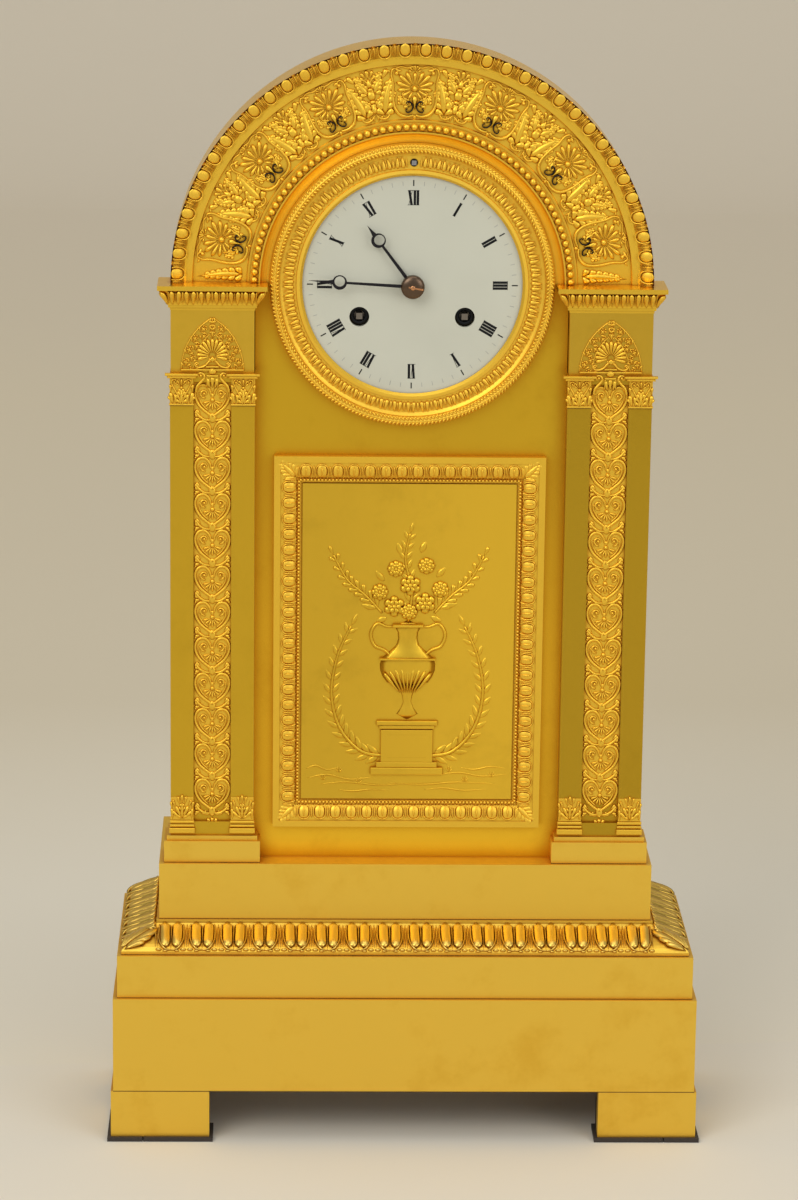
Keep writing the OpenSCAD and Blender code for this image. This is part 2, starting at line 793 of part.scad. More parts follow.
// Turn button outside and tongue inside, on one short spindle
module door_latch() {
    x = latch_p[0];
    z = z_axis + latch_p[1];
    out_y = door_y + door_t;
    in_y = back_y - 0.5;
    color(steel) {
        drod(latch_p, in_y - 1.2, out_y + 0.6, latch_r, 24);
        drod(latch_p, out_y + 0.3, out_y + 1.5, 3.2, 32);
        slab([x, z], in_y - 1.3, in_y) rotate(60) {
            translate([0, -2]) square([7.6, 4]);
            circle(2.2, $fn = 24);
        }
    }
}

// Frame with a moulded inner slope, mitred at its corners
module panel_frame() {
    x = panel_w / 2;
    w = frame_w;
    y0 = plate_front;
    line = [[w + 0.5, 1], [w + 0.5, -0.6], [w, -0.6], [w, -1.4], [w - 1.4, -1.4],
            for (i = [0:5]) let (a = 90 * i / 5) [2.8 + (w - 4.6) * cos(a), -1.6 - (frame_t - 2) * sin(a)],
            [2.8, -frame_t - 1], [w + 9, -frame_t - 1]];
    color(bronze) difference() {
        block([-x, y0 - frame_t, panel_z], [x, y0, panel_z + panel_h]);
        intersection() {
            translate([0, 0, panel_z - 1]) linear_extrude(panel_h + 2)
                opening(line, x, y0);
            translate([-x - 1, 0, panel_z + panel_h / 2]) rotate([90, 0, 90]) linear_extrude(panel_w + 2)
                mirror([1, -1]) opening(line, panel_h / 2, y0);
        }
        for (p = panel_screws) rod(p, y0 - 2, y0 + 1, 1.2 + fit, 24);
    }
}

// What the frame leaves open, as a cut across it: half the size and its front plane
module opening(line, half, y0) {
    n = 10;
    pts = [for (i = [1:len(line) - 2]) [half - line[i][0], y0 + line[i][1]]];
    m = len(pts) - 1;
    polygon(concat([[half - frame_w - 0.5, y0 + 1]], pts,
                   [for (i = [m:-1:0]) [-pts[i][0], pts[i][1]]], [[-half + frame_w + 0.5, y0 + 1]]));
}

// Plate of the relief, seated inside the frame
module relief_panel() {
    x = panel_w / 2 - frame_w - 0.7;
    color(bronze) block([-x, plate_front - 1.5, panel_z + frame_w + 0.7],
                        [x, plate_front, panel_z + panel_h - frame_w - 0.7]);
}

// Bezel: knurled outer roll, hollow and a flat inner band that holds the dial
module bezel() {
    f = -plate_front;
    t = bezel_t;
    w = bezel_r - dial_r;
    color(gilt) difference() {
        turned([
            [bezel_r, f], [bezel_r, f + t - 2.6],
            for (i = [0:6]) let (a = 180 * i / 6) [bezel_r - w * 0.15 + w * 0.15 * cos(a), f + t - 2.6 + 2.4 * sin(a)],
            [bezel_r - w * 0.34, f + t - 3], [bezel_r - w * 0.4, f + t - 3.4],
            [bezel_r - w * 0.8, f + t - 3.2], [bezel_r - w * 0.82, f + t - 2.4], [bezel_r - w * 0.92, f + t - 2.2],
            [dial_r, f + t - 3.4], [dial_r, f + 2.1], [hole_r, f + 1.6], [hole_r, f]]);
        drod([0, regulator_z], bezel_front - 1, plate_front + 1, 1.7);
        for (a = screw_angles) drod(polar(screw_ring, a), plate_front - 2.4, plate_front + 1, 1.2 + fit, 24);
    }
}

// Fixing screws: bezel, frame, straps and the bolts up into the pedestals
module case_screws() {
    color(steel) {
        for (a = screw_angles) {
            drod(polar(screw_ring, a), plate_front - 2.2, plate_back + 0.2, 1.2, 24);
            drod(polar(screw_ring, a), plate_back, plate_back + 1.4, 2.4, 24);
        }
        for (p = panel_screws) {
            rod(p, plate_front - 1.4, plate_back + 0.2, 1.2, 24);
            rod(p, plate_back, plate_back + 1.4, 2.4, 24);
        }
        for (s = [-1, 1]) {
            drod([s * strap_x, 0], back_y - 6, ring_back - 0.2, 1.2, 24);
            drod([s * strap_x, 0], ring_back - 0.95, ring_back, 2.5, 24);
        }
        base_bolts(screw_r, 9 + base_wall);
        for (s = [-1, 1]) for (dx = bolt_dx)
            translate([s * (pilaster_x + dx), bolt_y, z_ped - base_wall - head_h]) cylinder(r = head_r, h = head_h, $fn = 6);
    }
}

// Convex enamel dial with its three holes
module dial() {
    e = -dial_edge;
    n = 8;
    color(enamel) difference() {
        turned(concat([[0, e], [seat_r - 0.3, e]],
            [for (i = [n:-1:0]) let (r = (seat_r - 0.3) * i / n) [r, e + dial_t - 0.3 + dome * (1 - pow(r / seat_r, 2))]]));
        drod(C, dial_front - 3, dial_edge + 1, 3);
        for (p = [G, S]) drod(p, dial_front - 3, dial_edge + 1, winding_r);
    }
}

// Brass backing of the dial, with three feet that stand on the movement
module dial_plate() {
    color(brass) difference() {
        union() {
            drod(C, dial_edge, backing_back, seat_r - 0.3, 120);
            for (a = dial_feet) drod(polar(plate_r - 5, a), backing_back - 0.2, front_plate_y, 1.6, 24);
        }
        drod(C, dial_edge - 1, backing_back + 1, 3);
        for (p = [G, S]) drod(p, dial_edge - 1, backing_back + 1, winding_r);
    }
}
dial_feet = [60, 180, 285];

// The pillars that hold the plates apart
pillar_at = [for (a = [66, 114, 184, 270, 356]) polar(plate_r - 3.6, a)];
strap_x = ring_in + 3.3;

train = [I, C, T, E, A, S2, P, L, F, H];

module movement_front_plate() {
    click_r = 7.7;
    color(brass) {
        difference() {
            drod(C, front_plate_y, inner_y, plate_r, 120);
            for (p = train) drod(p, front_plate_y - 1, inner_y + 1, (p == C ? 1.5 : pivot_r) + fit, 24);
            for (p = [G, S]) drod(p, front_plate_y - 1, inner_y + 1, 2 + fit, 32);
            drod(M, front_plate_y - 1, inner_y + 1, pivot_r + fit, 24);
        }
        for (p = pillar_at) drod(p, inner_y - 0.1, rear_plate_y, 2.2, 24);
        // Clicks that hold the ratchets
        for (p = [G, S]) dslab(p + polar(click_r + 1.6, 250), front_plate_y - 1.6, front_plate_y)
            rotate(20) translate([-1.2, -1]) square([5, 2]);
        // Lugs that tie the plate to the straps
        for (s = [-1, 1]) block([s > 0 ? plate_r - 2 : -strap_x + 1, front_plate_y, z_axis - 3],
                                [s > 0 ? strap_x - 1 : -plate_r + 2, inner_y, z_axis + 3]);
    }
}

module movement_back_plate() {
    color(brass) difference() {
        drod(C, rear_plate_y, outer_y, plate_r, 120);
        for (p = train) drod(p, rear_plate_y - 1, outer_y + 1, (p == A ? 1.6 : pivot_r) + fit, 24);
        for (p = [G, S]) drod(p, rear_plate_y - 1, outer_y + 1, 1.4 + fit, 24);
    }
}

module movement_straps() {
    color(brass) difference() {
        for (s = [-1, 1]) translate([s * strap_x, 0, z_axis])
            translate([-1, backing_back, -4]) cube([3 - 1, back_y - backing_back, 8]);
        for (s = [-1, 1]) drod([s * strap_x, 0], back_y - 6.2, back_y + 1, 1.2 + fit, 24);
    }
}

// Toothed barrel with its coiled mainspring
module barrel(p) {
    r = great_m * great_n / 2 - 2.6;
    wall = 1.2;
    turns = 6;
    n = 14 * turns;
    r0 = 5;
    step = (r - wall - 0.6 - r0) / n;
    strip = 0.5;
    color(brass) {
        difference() {
            union() {
                drod(p, y_drum, y_great + 0.1, r, 60);
                dslab(p, y_great, y_great + great_t) toothed(great_n, great_m, ph_great);
            }
            drod(p, y_drum + wall, y_great - 0.6, r - wall, 60);
            drod(p, y_drum - 1, y_great + great_t + 1, 2 + fit, 32);
        }
    }
    color(steel) dslab(p, y_drum + wall + 0.5, y_great - 1.1) polygon(concat(
        [for (i = [0:n]) polar(r0 + step * i, 360 * turns * i / n)],
        [for (i = [n:-1:0]) polar(r0 + step * i + strip, 360 * turns * i / n)]));
}

// Barrel arbor with its ratchet and the square that takes the key
module winding_arbor(p) {
    y0 = dial_front + 1.2;
    square_w = 2.7;
    color(steel) {
        drod(p, front_plate_y - 0.2, rear_plate_y - 0.2, 2, 32);
        drod(p, rear_plate_y - 0.3, outer_y, 1.4, 24);
        dslab(p, front_plate_y - 1.6, front_plate_y - 0.2) difference() {
            toothed(18, 0.66, 0);
        }
        dslab(p, y0, front_plate_y - 1.5) square(square_w, center = true);
    }
}

module intermediate_wheel() {
    color(brass) {
        wheel(I, y_front_wheel, wheel_t, second_n, second_m, ph_i_wheel);
        pinion(I, y_great - 0.6, y_great + great_t + 0.6, second_p, great_m, ph_i_pinion);
        arbor(I);
    }
}

// Centre arbor: it turns once an hour and ends inside the minute hand's collet
module centre_wheel() {
    color(brass) {
        wheel(C, y_centre, wheel_t, centre_n, centre_m, 0, 5);
        pinion(C, y_front_wheel - 0.5, y_front_wheel + wheel_t + 0.5, centre_p, second_m, ph_c_pinion);
        arbor(C);
        drod(C, front_plate_y - 0.1, inner_y + 0.3, 1.5, 32);
        drod(C, cannon_y - 1.8, front_plate_y, spindle_r, 32);
    }
}

// Tube that carries the minute hand: it grips the centre arbor by friction
module cannon_pinion() {
    color(brass) difference() {
        union() {
            drod(C, cannon_y, front_plate_y - 0.3, 1.5, 32);
            pinion(C, front_plate_y - 2.2, front_plate_y - 0.5, cannon_n, minute_m, 0);
        }
        drod(C, cannon_y - 1, front_plate_y, spindle_r + fit, 32);
    }
}

module third_wheel() {
    color(brass) {
        wheel(T, y_drum + 8, wheel_t, third_n, third_m, 0);
        pinion(T, y_centre - 0.5, y_centre + wheel_t + 0.5, third_p, centre_m, ph_t_pinion);
        arbor(T);
    }
}

escape_r = 9.6;

module escape_wheel() {
    y0 = y_drum + 11.2;
    pitch = 360 / escape_n;
    color(brass) {
        dslab(E, y0, y0 + wheel_t) difference() {
            polygon([for (i = [0:escape_n - 1]) for (k = [0:2])
                polar(escape_r - [1.6, 0, 1.5][k], pitch * (i + [0, 0.12, 0.3][k]))]);
            crossings(escape_r - 3, 2.4, 4, 1.2);
        }
        pinion(E, y_drum + 7.5, y_drum + 8 + wheel_t + 0.5, escape_p, third_m, ph_e_pinion);
        arbor(E);
    }
}

// Anchor that spans the escape wheel, on one arbor with the crutch
module anchor() {
    y0 = y_drum + 11.2;
    reach = 6.2;
    drop = A[1] - E[1];
    fork_z = 9;
    crutch_y = outer_y + 0.9;
    color(steel) {
        dslab(A, y0 + 0.1, y0 + 1) difference() {
            union() {
                circle(2.2, $fn = 32);
                for (s = [-1, 1]) polygon([[0, 2], [s * 5, 0.4], [s * 8, -2.4], [s * (reach + 1.6), -5.4],
                                           [s * reach, -4.9], [s * 5.2, -2], [0, -1.6]]);
            }
            translate([0, -drop]) circle(escape_r + 0.7, $fn = 60);
        }
        drod(A, inner_y + 0.2, outer_y + 0.4, arbor_r);
        drod(A, front_plate_y, cock_y + cock_t, pivot_r, 24);
        drod(A, crutch_y, crutch_y + 1, 2.2, 32);
        dslab(A, crutch_y, crutch_y + 1) translate([-0.7, fork_z - A[1]]) square([1.4, A[1] - fork_z]);
        dslab([0, fork_z], crutch_y, crutch_y + 1) square([5, 2.6], center = true);
        for (s = [-1, 1]) dslab([s * (rod_r + 0.25 + 0.45), fork_z], crutch_y, rod_y + 1.4)
            square([0.9, 2.6], center = true);
    }
}

rod_r = 1.1;
cock_foot = [10, 33];
guide_z = 43;
spool_r = 1.6;

// Cock on the back plate: bears the anchor's rear pivot and the regulating arbor
module suspension_cock() {
    y1 = cock_y + cock_t;
    color(brass) difference() {
        union() {
            for (s = [-1, 1]) drod([s * cock_foot[0], cock_foot[1]], outer_y, cock_y + 0.1, 2.4, 32);
            dslab(C, cock_y, y1) {
                translate([-cock_foot[0] - 2.4, cock_foot[1] - 2.6]) square([2 * cock_foot[0] + 4.8, 5.2]);
                translate([-4, cock_foot[1]]) square([8, regulator_z - cock_foot[1]]);
                translate([0, regulator_z]) circle(4, $fn = 40);
            }
            // Slotted lug that fixes the point where the silk bends
            dslab([0, guide_z + 1], y1 - 0.1, rod_y + 1.4) square([5, 2], center = true);
        }
        drod(A, cock_y - 1, y1 + 1, pivot_r + fit, 24);
        drod([0, regulator_z], cock_y - 1, y1 + 1, 1.4 + fit, 32);
        dslab([0, guide_z + 1], rod_y - 0.8, rod_y + 0.8) square([2, 4], center = true);
    }
    // Upper part of the silk, from the spool to the lug
    color(leather) for (s = [-1, 1]) translate([s * silk_x, rod_y, z_axis + guide_z + 0.1])
        cylinder(r = silk_r, h = regulator_z - guide_z - spool_r - 0.4, $fn = 16);
}
silk_r = 0.3;
silk_x = 0.65;

// Arbor above the twelve: turned with a key at the front, it winds the silk at the back
module regulator_arbor() {
    y0 = bezel_front + 2.2;
    r = 1.4;
    color(steel) {
        dslab([0, regulator_z], y0, y0 + 5) square(2, center = true);
        drod([0, regulator_z], y0 + 4.6, rod_y + 2.4, r, 32);
        drod([0, regulator_z], cock_y + cock_t + 0.3, cock_y + cock_t + 1, r + 1.2, 32);
        drod([0, regulator_z], rod_y + 1.2, rod_y + 2.4, r + 1.2, 32);
    }
}

// Pendulum: hook, rod, turned bob and rating nut
module pendulum() {
    top = guide_z - 2.4;
    bob_z = guide_z - pendulum_l;
    thick = 3.6;
    rim = 0.6;
    n = 6;
    below = 9;
    sunk = 2;
    color(steel) {
        translate([0, rod_y, z_axis + bob_z + bob_r - sunk]) cylinder(r = rod_r, h = top - bob_z - bob_r + sunk, $fn = 32);
        translate([0, rod_y, z_axis + top - 1]) cylinder(r = 1.5, h = 1.6, $fn = 32);
        translate([0, rod_y, z_axis + bob_z - bob_r - below]) cylinder(r = rod_r, h = below + sunk, $fn = 32);
        translate([0, rod_y, z_axis + bob_z - bob_r - 3.4]) cylinder(r = 3.2, h = 2.4, $fn = 32);
    }
    color(leather) for (s = [-1, 1]) translate([s * silk_x, rod_y, z_axis + top + 0.5])
        cylinder(r = silk_r, h = guide_z - top - 0.9, $fn = 16);
    color(brass) translate([0, rod_y, z_axis + bob_z]) rotate([90, 0, 0]) rotate_extrude($fn = 72) polygon(concat(
        [for (i = [0:n]) let (a = 90 * i / n) [bob_r * sin(a), rim + (thick - rim) * cos(a)]],
        [for (i = [n:-1:0]) let (a = 90 * i / n) [bob_r * sin(a), -rim - (thick - rim) * cos(a)]]));
}

// Second wheel of the strike, with the count wheel on its rear end
module strike_second_wheel() {
    slots = [0, 30, 60, 95, 135, 180, 230, 285];
    color(brass) {
        wheel(S2, y_front_wheel, wheel_t, second_n, second_m, 0);
        pinion(S2, y_great - 0.6, y_great + great_t + 0.6, second_p, great_m, ph_s2_pinion);
        arbor(S2);
        drod(S2, outer_y - 0.1, outer_y + 1.6, pivot_r, 24);
        dslab(S2, outer_y + 0.4, outer_y + 1.5) difference() {
            circle(9, $fn = 60);
            crossings(6.4, 2.2, 4, 1.4);
            for (a = slots) rotate(a) translate([7.8, -0.5]) square([2, 1]);
        }
    }
}

module pin_wheel() {
    pins = 10;
    y0 = y_drum + 4;
    color(brass) {
        wheel(P, y0, wheel_t, pin_n, fine_m, 0);
        for (i = [0:pins - 1]) drod(P + polar(fine_m * pin_n / 2 - 1.8, 360 * (i + 0.5) / pins), y0 + wheel_t - 0.1, y0 + wheel_t + 1.6, 0.45, 16);
        pinion(P, y_front_wheel - 0.5, y_front_wheel + wheel_t + 0.5, pin_p, second_m, ph_p_pinion);
        arbor(P);
    }
}

module locking_wheel() {
    color(brass) {
        wheel(L, y_drum + 7, wheel_t, locking_n, locking_m, 0);
        pinion(L, y_drum + 3.5, y_drum + 4 + wheel_t + 0.5, locking_p, fine_m, ph_l_pinion);
        arbor(L);
    }
}

// Air brake of the strike: two vanes on the last arbor
module fly() {
    vane = 4.6;
    color(brass) {
        pinion(F, y_drum + 6.5, y_drum + 7 + wheel_t + 0.5, fly_p, locking_m, ph_f_pinion);
        dslab(F, y_drum + 10, y_great + 2) square([2 * vane, 0.6], center = true);
        arbor(F);
    }
}

// Minute wheel of the motion work, on a stud in the front plate
module minute_wheel() {
    color(brass) {
        wheel(M, front_plate_y - 2, 1.2, minute_n, minute_m, ph_m_wheel);
        pinion(M, front_plate_y - 5.2, front_plate_y - 1.9, minute_p, hour_m, 0);
        drod(M, front_plate_y - 1, inner_y, pivot_r, 24);
        drod(M, front_plate_y - 0.9, front_plate_y - 0.2, 1.4, 24);
    }
}

hands_y = dial_front - dome;
hour_hand_y = hands_y - 1.9;
minute_hand_y = hour_hand_y - 2;
hand_t = 0.7;
cannon_y = minute_hand_y - hand_t;
spindle_r = 0.9;

// Hour wheel and its pipe, which carries the hour hand through the dial
module hour_wheel() {
    y0 = front_plate_y - 4.6;
    pipe = 2.3;
    color(brass) difference() {
        union() {
            wheel(C, y0, wheel_t, hour_n, hour_m, ph_h_wheel);
            drod(C, hour_hand_y - 0.5, y0 + wheel_t + 0.8, pipe, 40);
        }
        drod(C, hour_hand_y - 1, y0 + wheel_t + 1, 1.5 + fit, 32);
    }
}

// A hand with an open ring near its tip; a is clockwise from twelve
module ring_hand(l, ring_z, a, w) {
    ring_r = 3.15;
    rotate(-a) {
        difference() {
            union() {
                polygon([[-w, 0], [-w * 0.62, ring_z], [w * 0.62, ring_z], [w, 0]]);
                translate([0, ring_z]) circle(ring_r, $fn = 40);
                polygon([[-1, ring_z + 2.9], [-0.55, ring_z + 5], [0, l], [0.55, ring_z + 5], [1, ring_z + 2.9]]);
            }
            translate([0.45, ring_z]) circle(ring_r - 0.9, $fn = 40);
        }
        circle(4, $fn = 48);
    }
}

module minute_hand() {
    y0 = minute_hand_y;
    color(steel) difference() {
        dslab(C, y0 - hand_t, y0) ring_hand(minute_l, minute_l - 13.3, minute_a, 0.75);
        drod(C, y0 - 2, y0 + 1, 1.5, 32);
    }
    color(bronze) difference() {
        translate([0, y0 - hand_t, z_axis]) rotate([90, 0, 0]) rotate_extrude($fn = 60) polygon([
            [0, 0], [4.7, 0], [4.7, 0.5], for (i = [1:5]) let (a = 90 * i / 5) [4.7 * cos(a), 0.5 + 1.7 * sin(a)]]);
        drod(C, y0 - 6, y0 + 1, spindle_r + fit, 32);
    }
}

module hour_hand() {
    y0 = hour_hand_y;
    color(steel) difference() {
        union() {
            dslab(C, y0 - hand_t, y0) ring_hand(hour_l, hour_l - 8.2, hour_a, 0.8);
            drod(C, y0 - hand_t, y0 + 0.9, 3.4, 40);
        }
        drod(C, y0 - 2, y0 + 2, 2.3, 40);
    }
}

bell_y = rod_y + 4.4;
bell_d = 9;
stand_p = [31, -19];

// Bell on its stand: a post on the back plate and a bar that ends under the crown
module bell() {
    wall = 1.3;
    n = 9;
    bar_y = rod_y + 2;
    l = norm2(stand_p);
    color(brass) difference() {
        turned([
            for (i = [0:n]) let (a = 90 * i / n) [bell_r * cos(a), -bell_y - bell_d * sin(a)],
            for (i = [n:-1:0]) let (a = 90 * i / n) [(bell_r - wall) * cos(a), -bell_y - (bell_d - wall) * sin(a)]]);
        drod(C, bell_y, bell_y + bell_d + 1, 1.5, 24);
    }
    color(steel) {
        drod(C, bar_y, bell_y + bell_d + 1.6, 1.5, 24);
        drod(C, bell_y + bell_d, bell_y + bell_d + 1.5, 2.8, 6);
        drod(C, bar_y, bell_y + bell_d - wall, 2.6, 32);
        drod(stand_p, outer_y, bar_y + 1.4, 2, 32);
        dslab(C, bar_y, bar_y + 1.4) rotate(atan2(stand_p[1], stand_p[0])) translate([0, -1.7]) square([l, 3.4]);
    }
}

// Hammer: arbor, lifting tail between the plates, and the arm with its head outside
module hammer() {
    tail = 8;
    arm_y = outer_y + 2.4;
    head_r = 1.8;
    gap = 0.5;
    to_head = polar(bell_r + head_r + gap, 175) - H;
    tail_a = angle_to(H, P);
    color(steel) {
        arbor(H);
        drod(H, outer_y - 0.1, arm_y + 1.2, pivot_r, 24);
        drod(H, arm_y, arm_y + 1.2, 1.8, 32);
        dslab(H, y_drum + 4 + wheel_t + 0.4, y_drum + 4 + wheel_t + 1.4) {
            rotate(tail_a) translate([0, -0.8]) square([tail, 1.6]);
            circle(2, $fn = 32);
        }
        dslab(H, arm_y, arm_y + 1.2) rotate(atan2(to_head[1], to_head[0])) translate([0, -0.8])
            square([norm2(to_head), 1.6]);
    }
    color(brass) drod(H + to_head, arm_y, bell_y + 3.2, head_r, 32);
}

foot_pads();
feet();
lower_plinth();
upper_plinth();
base_moulding();
die_block();
pedestal(-1);  // pedestal_left
pedestal(1);  // pedestal_right
pilaster(-1);  // pilaster_left
pilaster(1);  // pilaster_right
heart_chains();
pilaster_bases();
capitals();
frieze_block(-1);  // frieze_block_left
frieze_block(1);  // frieze_block_right
lunettes();
cornice(-1);  // cornice_left
cornice(1);  // cornice_right
front_plate();
arch_frieze();
arch_rim();
bead_ring();
case_shell();
back_plate();
rear_bezel();
rear_door();
hinge_pin();
door_latch();
panel_frame();
relief_panel();
bezel();
case_screws();
dial();
dial_plate();
movement_front_plate();
movement_back_plate();
movement_straps();
barrel(G);  // going_barrel
barrel(S);  // strike_barrel
winding_arbor(G);  // going_arbor
winding_arbor(S);  // strike_arbor
intermediate_wheel();
centre_wheel();
cannon_pinion();
third_wheel();
escape_wheel();
anchor();
suspension_cock();
regulator_arbor();
pendulum();
strike_second_wheel();
pin_wheel();
locking_wheel();
fly();
minute_wheel();
hour_wheel();
minute_hand();
hour_hand();
bell();
hammer();
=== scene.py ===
import json
import math

import bpy
from mathutils import Matrix, Vector


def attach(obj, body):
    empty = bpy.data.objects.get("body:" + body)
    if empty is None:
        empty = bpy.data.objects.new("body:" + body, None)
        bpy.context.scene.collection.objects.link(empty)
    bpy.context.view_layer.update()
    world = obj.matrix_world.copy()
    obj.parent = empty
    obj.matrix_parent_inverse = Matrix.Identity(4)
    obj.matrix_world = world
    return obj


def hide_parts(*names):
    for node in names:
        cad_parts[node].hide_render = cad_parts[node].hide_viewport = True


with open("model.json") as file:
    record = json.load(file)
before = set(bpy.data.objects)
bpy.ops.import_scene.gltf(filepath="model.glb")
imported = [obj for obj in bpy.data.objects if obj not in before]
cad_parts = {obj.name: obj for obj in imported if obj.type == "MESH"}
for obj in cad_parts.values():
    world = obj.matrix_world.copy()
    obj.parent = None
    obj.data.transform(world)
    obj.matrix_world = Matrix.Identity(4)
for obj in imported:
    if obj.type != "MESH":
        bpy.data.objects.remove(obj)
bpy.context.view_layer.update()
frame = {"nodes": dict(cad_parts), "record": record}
nodes = frame["nodes"]
mm = 0.001
axisZ = 382.2  # height of the dial's middle, in millimetres
pilasterX = 86.05  # middle of a pilaster, in millimetres


# place in millimetres, angles in degrees
view = {"place": (-53.27, -1766.43, 691.61), "yaw": 1.607, "pitch": -14.393, "roll": 0.708, "lens": 123.45}


def makeCamera():
    data = bpy.data.cameras.new("camera")
    data.lens = view["lens"]
    data.sensor_width = 36
    camera = bpy.data.objects.new("camera", data)
    bpy.context.scene.collection.objects.link(camera)
    place = Matrix.Translation(Vector(view["place"]) * mm)
    turn = Matrix.Rotation(math.radians(-view["yaw"]), 4, "Z")
    turn = turn @ Matrix.Rotation(math.radians(90 + view["pitch"]), 4, "X")
    camera.matrix_world = place @ turn @ Matrix.Rotation(math.radians(view["roll"]), 4, "Z")
    bpy.context.scene.camera = camera


# wraps a socket, so that an expression adds its Math nodes
class Link:
    def __init__(self, tree, socket):
        self.tree = tree
        self.socket = socket

    def maths(self, operation, first, second):
        node = self.tree.nodes.new("ShaderNodeMath")
        node.operation = operation
        plug(self.tree, node.inputs[0], first)
        plug(self.tree, node.inputs[1], second)
        return Link(self.tree, node.outputs[0])

    def __add__(self, other):
        return self.maths("ADD", self, other)

    def __radd__(self, other):
        return self.maths("ADD", other, self)

    def __sub__(self, other):
        return self.maths("SUBTRACT", self, other)

    def __rsub__(self, other):
        return self.maths("SUBTRACT", other, self)

    def __mul__(self, other):
        return self.maths("MULTIPLY", self, other)

    def __rmul__(self, other):
        return self.maths("MULTIPLY", other, self)

    def __truediv__(self, other):
        return self.maths("DIVIDE", self, other)

    def __pow__(self, other):
        return self.maths("POWER", self, other)

    def __lt__(self, other):
        return self.maths("LESS_THAN", self, other)

    def __gt__(self, other):
        return self.maths("GREATER_THAN", self, other)


def plug(tree, socket, value):
    if isinstance(value, Link):
        tree.links.new(value.socket, socket)
    elif isinstance(value, (tuple, list)) and len(value) == 3 and socket.type == "RGBA":
        socket.default_value = (*value, 1)
    else:
        socket.default_value = value


class Finish:
    def __init__(self, name, **fixed):
        self.material = bpy.data.materials.new(name)
        self.material.use_nodes = True
        self.tree = self.material.node_tree
        self.shader = self.tree.nodes["Principled BSDF"]
        for socket, value in fixed.items():
            self.set(socket.replace("_", " "), value)
        self.place = self.node("ShaderNodeTexCoord", out="Object")

    def node(self, kind, settings=None, out=0, **sockets):
        node = self.tree.nodes.new(kind)
        for key, value in (settings or {}).items():
            if key == "stops":
                ramp = node.color_ramp.elements
                while len(ramp) < len(value):
                    ramp.new(0.5)
                for stop, (spot, colour) in zip(ramp, value):
                    stop.position = spot
                    stop.color = (*colour, 1) if isinstance(colour, (tuple, list)) else (colour, colour, colour,
                                                                                         1)
            else:
                setattr(node, key, value)
        for name, value in sockets.items():
            spot = int(name[1:]) if name[0] == "i" and name[1:].isdigit() else name.replace("_", " ")
            plug(self.tree, node.inputs[spot], value)
        return Link(self.tree, node.outputs[out])

    def set(self, socket, value):
        plug(self.tree, self.shader.inputs[socket], value)

    def noise(self, scale, detail=3.0, rough=0.5, stretch=None):
        place = self.place
        if stretch:
            place = self.node("ShaderNodeMapping", Vector=place, Scale=stretch)
        return self.node("ShaderNodeTexNoise", out="Fac", Vector=place, Scale=scale, Detail=detail,
                         Roughness=rough)

    def span(self, value, low, high, least=0.0, most=1.0):
        return self.node("ShaderNodeMapRange", {"interpolation_type": "SMOOTHSTEP"}, Value=value, From_Min=low,
                         From_Max=high, To_Min=least, To_Max=most)

    def mix(self, share, first, second, blend="MIX"):
        return self.node("ShaderNodeMix", {"data_type": "RGBA", "blend_type": blend}, out=2, i0=share, i6=first,
                         i7=second)

    def bump(self, height, strength, distance):
        self.set("Normal", self.node("ShaderNodeBump", Strength=strength, Distance=distance, Height=height))


# gilding: painted shade darkens hollows to the hollow colour, as far as reach, in metres, and as much as deep
# a look's shade is axis, from, to, brightness at each, and paints light and shade along that axis
gilt = {
    "matt": {"colour": (0.885, 0.58, 0.078), "stain": (0.74, 0.43, 0.035), "hollow": (0.55, 0.22, 0.010),
             "rough": 0.47, "grain": 0.10, "reach": 0.004, "marks": 0.55},
    "satin": {"colour": (0.95, 0.575, 0.035), "stain": (0.72, 0.40, 0.02), "hollow": (0.52, 0.19, 0.006),
              "rough": 0.40, "grain": 0.07, "reach": 0.009, "marks": 0.40, "paintedShade": (2, 0.20, 0.32, 1.0, 0.74)},
    # pilaster and block are darker copies of the gilding: painted shade
    "pilaster": {"colour": (0.68, 0.42, 0.030), "stain": (0.55, 0.33, 0.02), "hollow": (0.45, 0.17, 0.006),
                 "rough": 0.33, "grain": 0.04, "reach": 0.003, "marks": 0.35, "paintedShade": (0, -0.06, 0.06, 1.0, 0.78)},
    "block": {"colour": (0.74, 0.46, 0.045), "stain": (0.58, 0.35, 0.025), "hollow": (0.45, 0.17, 0.006),
              "rough": 0.38, "grain": 0.05, "reach": 0.003, "marks": 0.4, "paintedShade": (0, -0.06, 0.06, 1.0, 0.88)},
    "burnished": {"colour": (0.92, 0.58, 0.055), "stain": (0.70, 0.40, 0.03), "hollow": (0.48, 0.17, 0.006),
                  "rough": 0.27, "grain": 0.02, "reach": 0.003, "marks": 0.30},
    "chased": {"colour": (0.90, 0.56, 0.055), "stain": (0.80, 0.48, 0.05), "hollow": (0.46, 0.17, 0.006),
               "rough": 0.43, "grain": 0.12, "reach": 0.0016, "marks": 0.3, "deep": 0.7},
    "moulded": {"colour": (0.78, 0.51, 0.10), "stain": (0.66, 0.42, 0.07), "hollow": (0.30, 0.12, 0.01),
                "rough": 0.34, "grain": 0.08, "reach": 0.0028, "marks": 0.35, "deep": 0.85},
    "soft": {"colour": (0.93, 0.59, 0.065), "stain": (0.78, 0.47, 0.04), "hollow": (0.62, 0.28, 0.012),
             "rough": 0.48, "grain": 0.08, "reach": 0.0016, "marks": 0.35, "deep": 0.6},
    "relief": {"colour": (0.88, 0.55, 0.045), "stain": (0.66, 0.40, 0.03), "hollow": (0.42, 0.15, 0.005),
               "rough": 0.38, "grain": 0.07, "reach": 0.002, "marks": 0.5, "paintedShade": (0, -0.045, 0.04, 0.84, 0.98)},
}

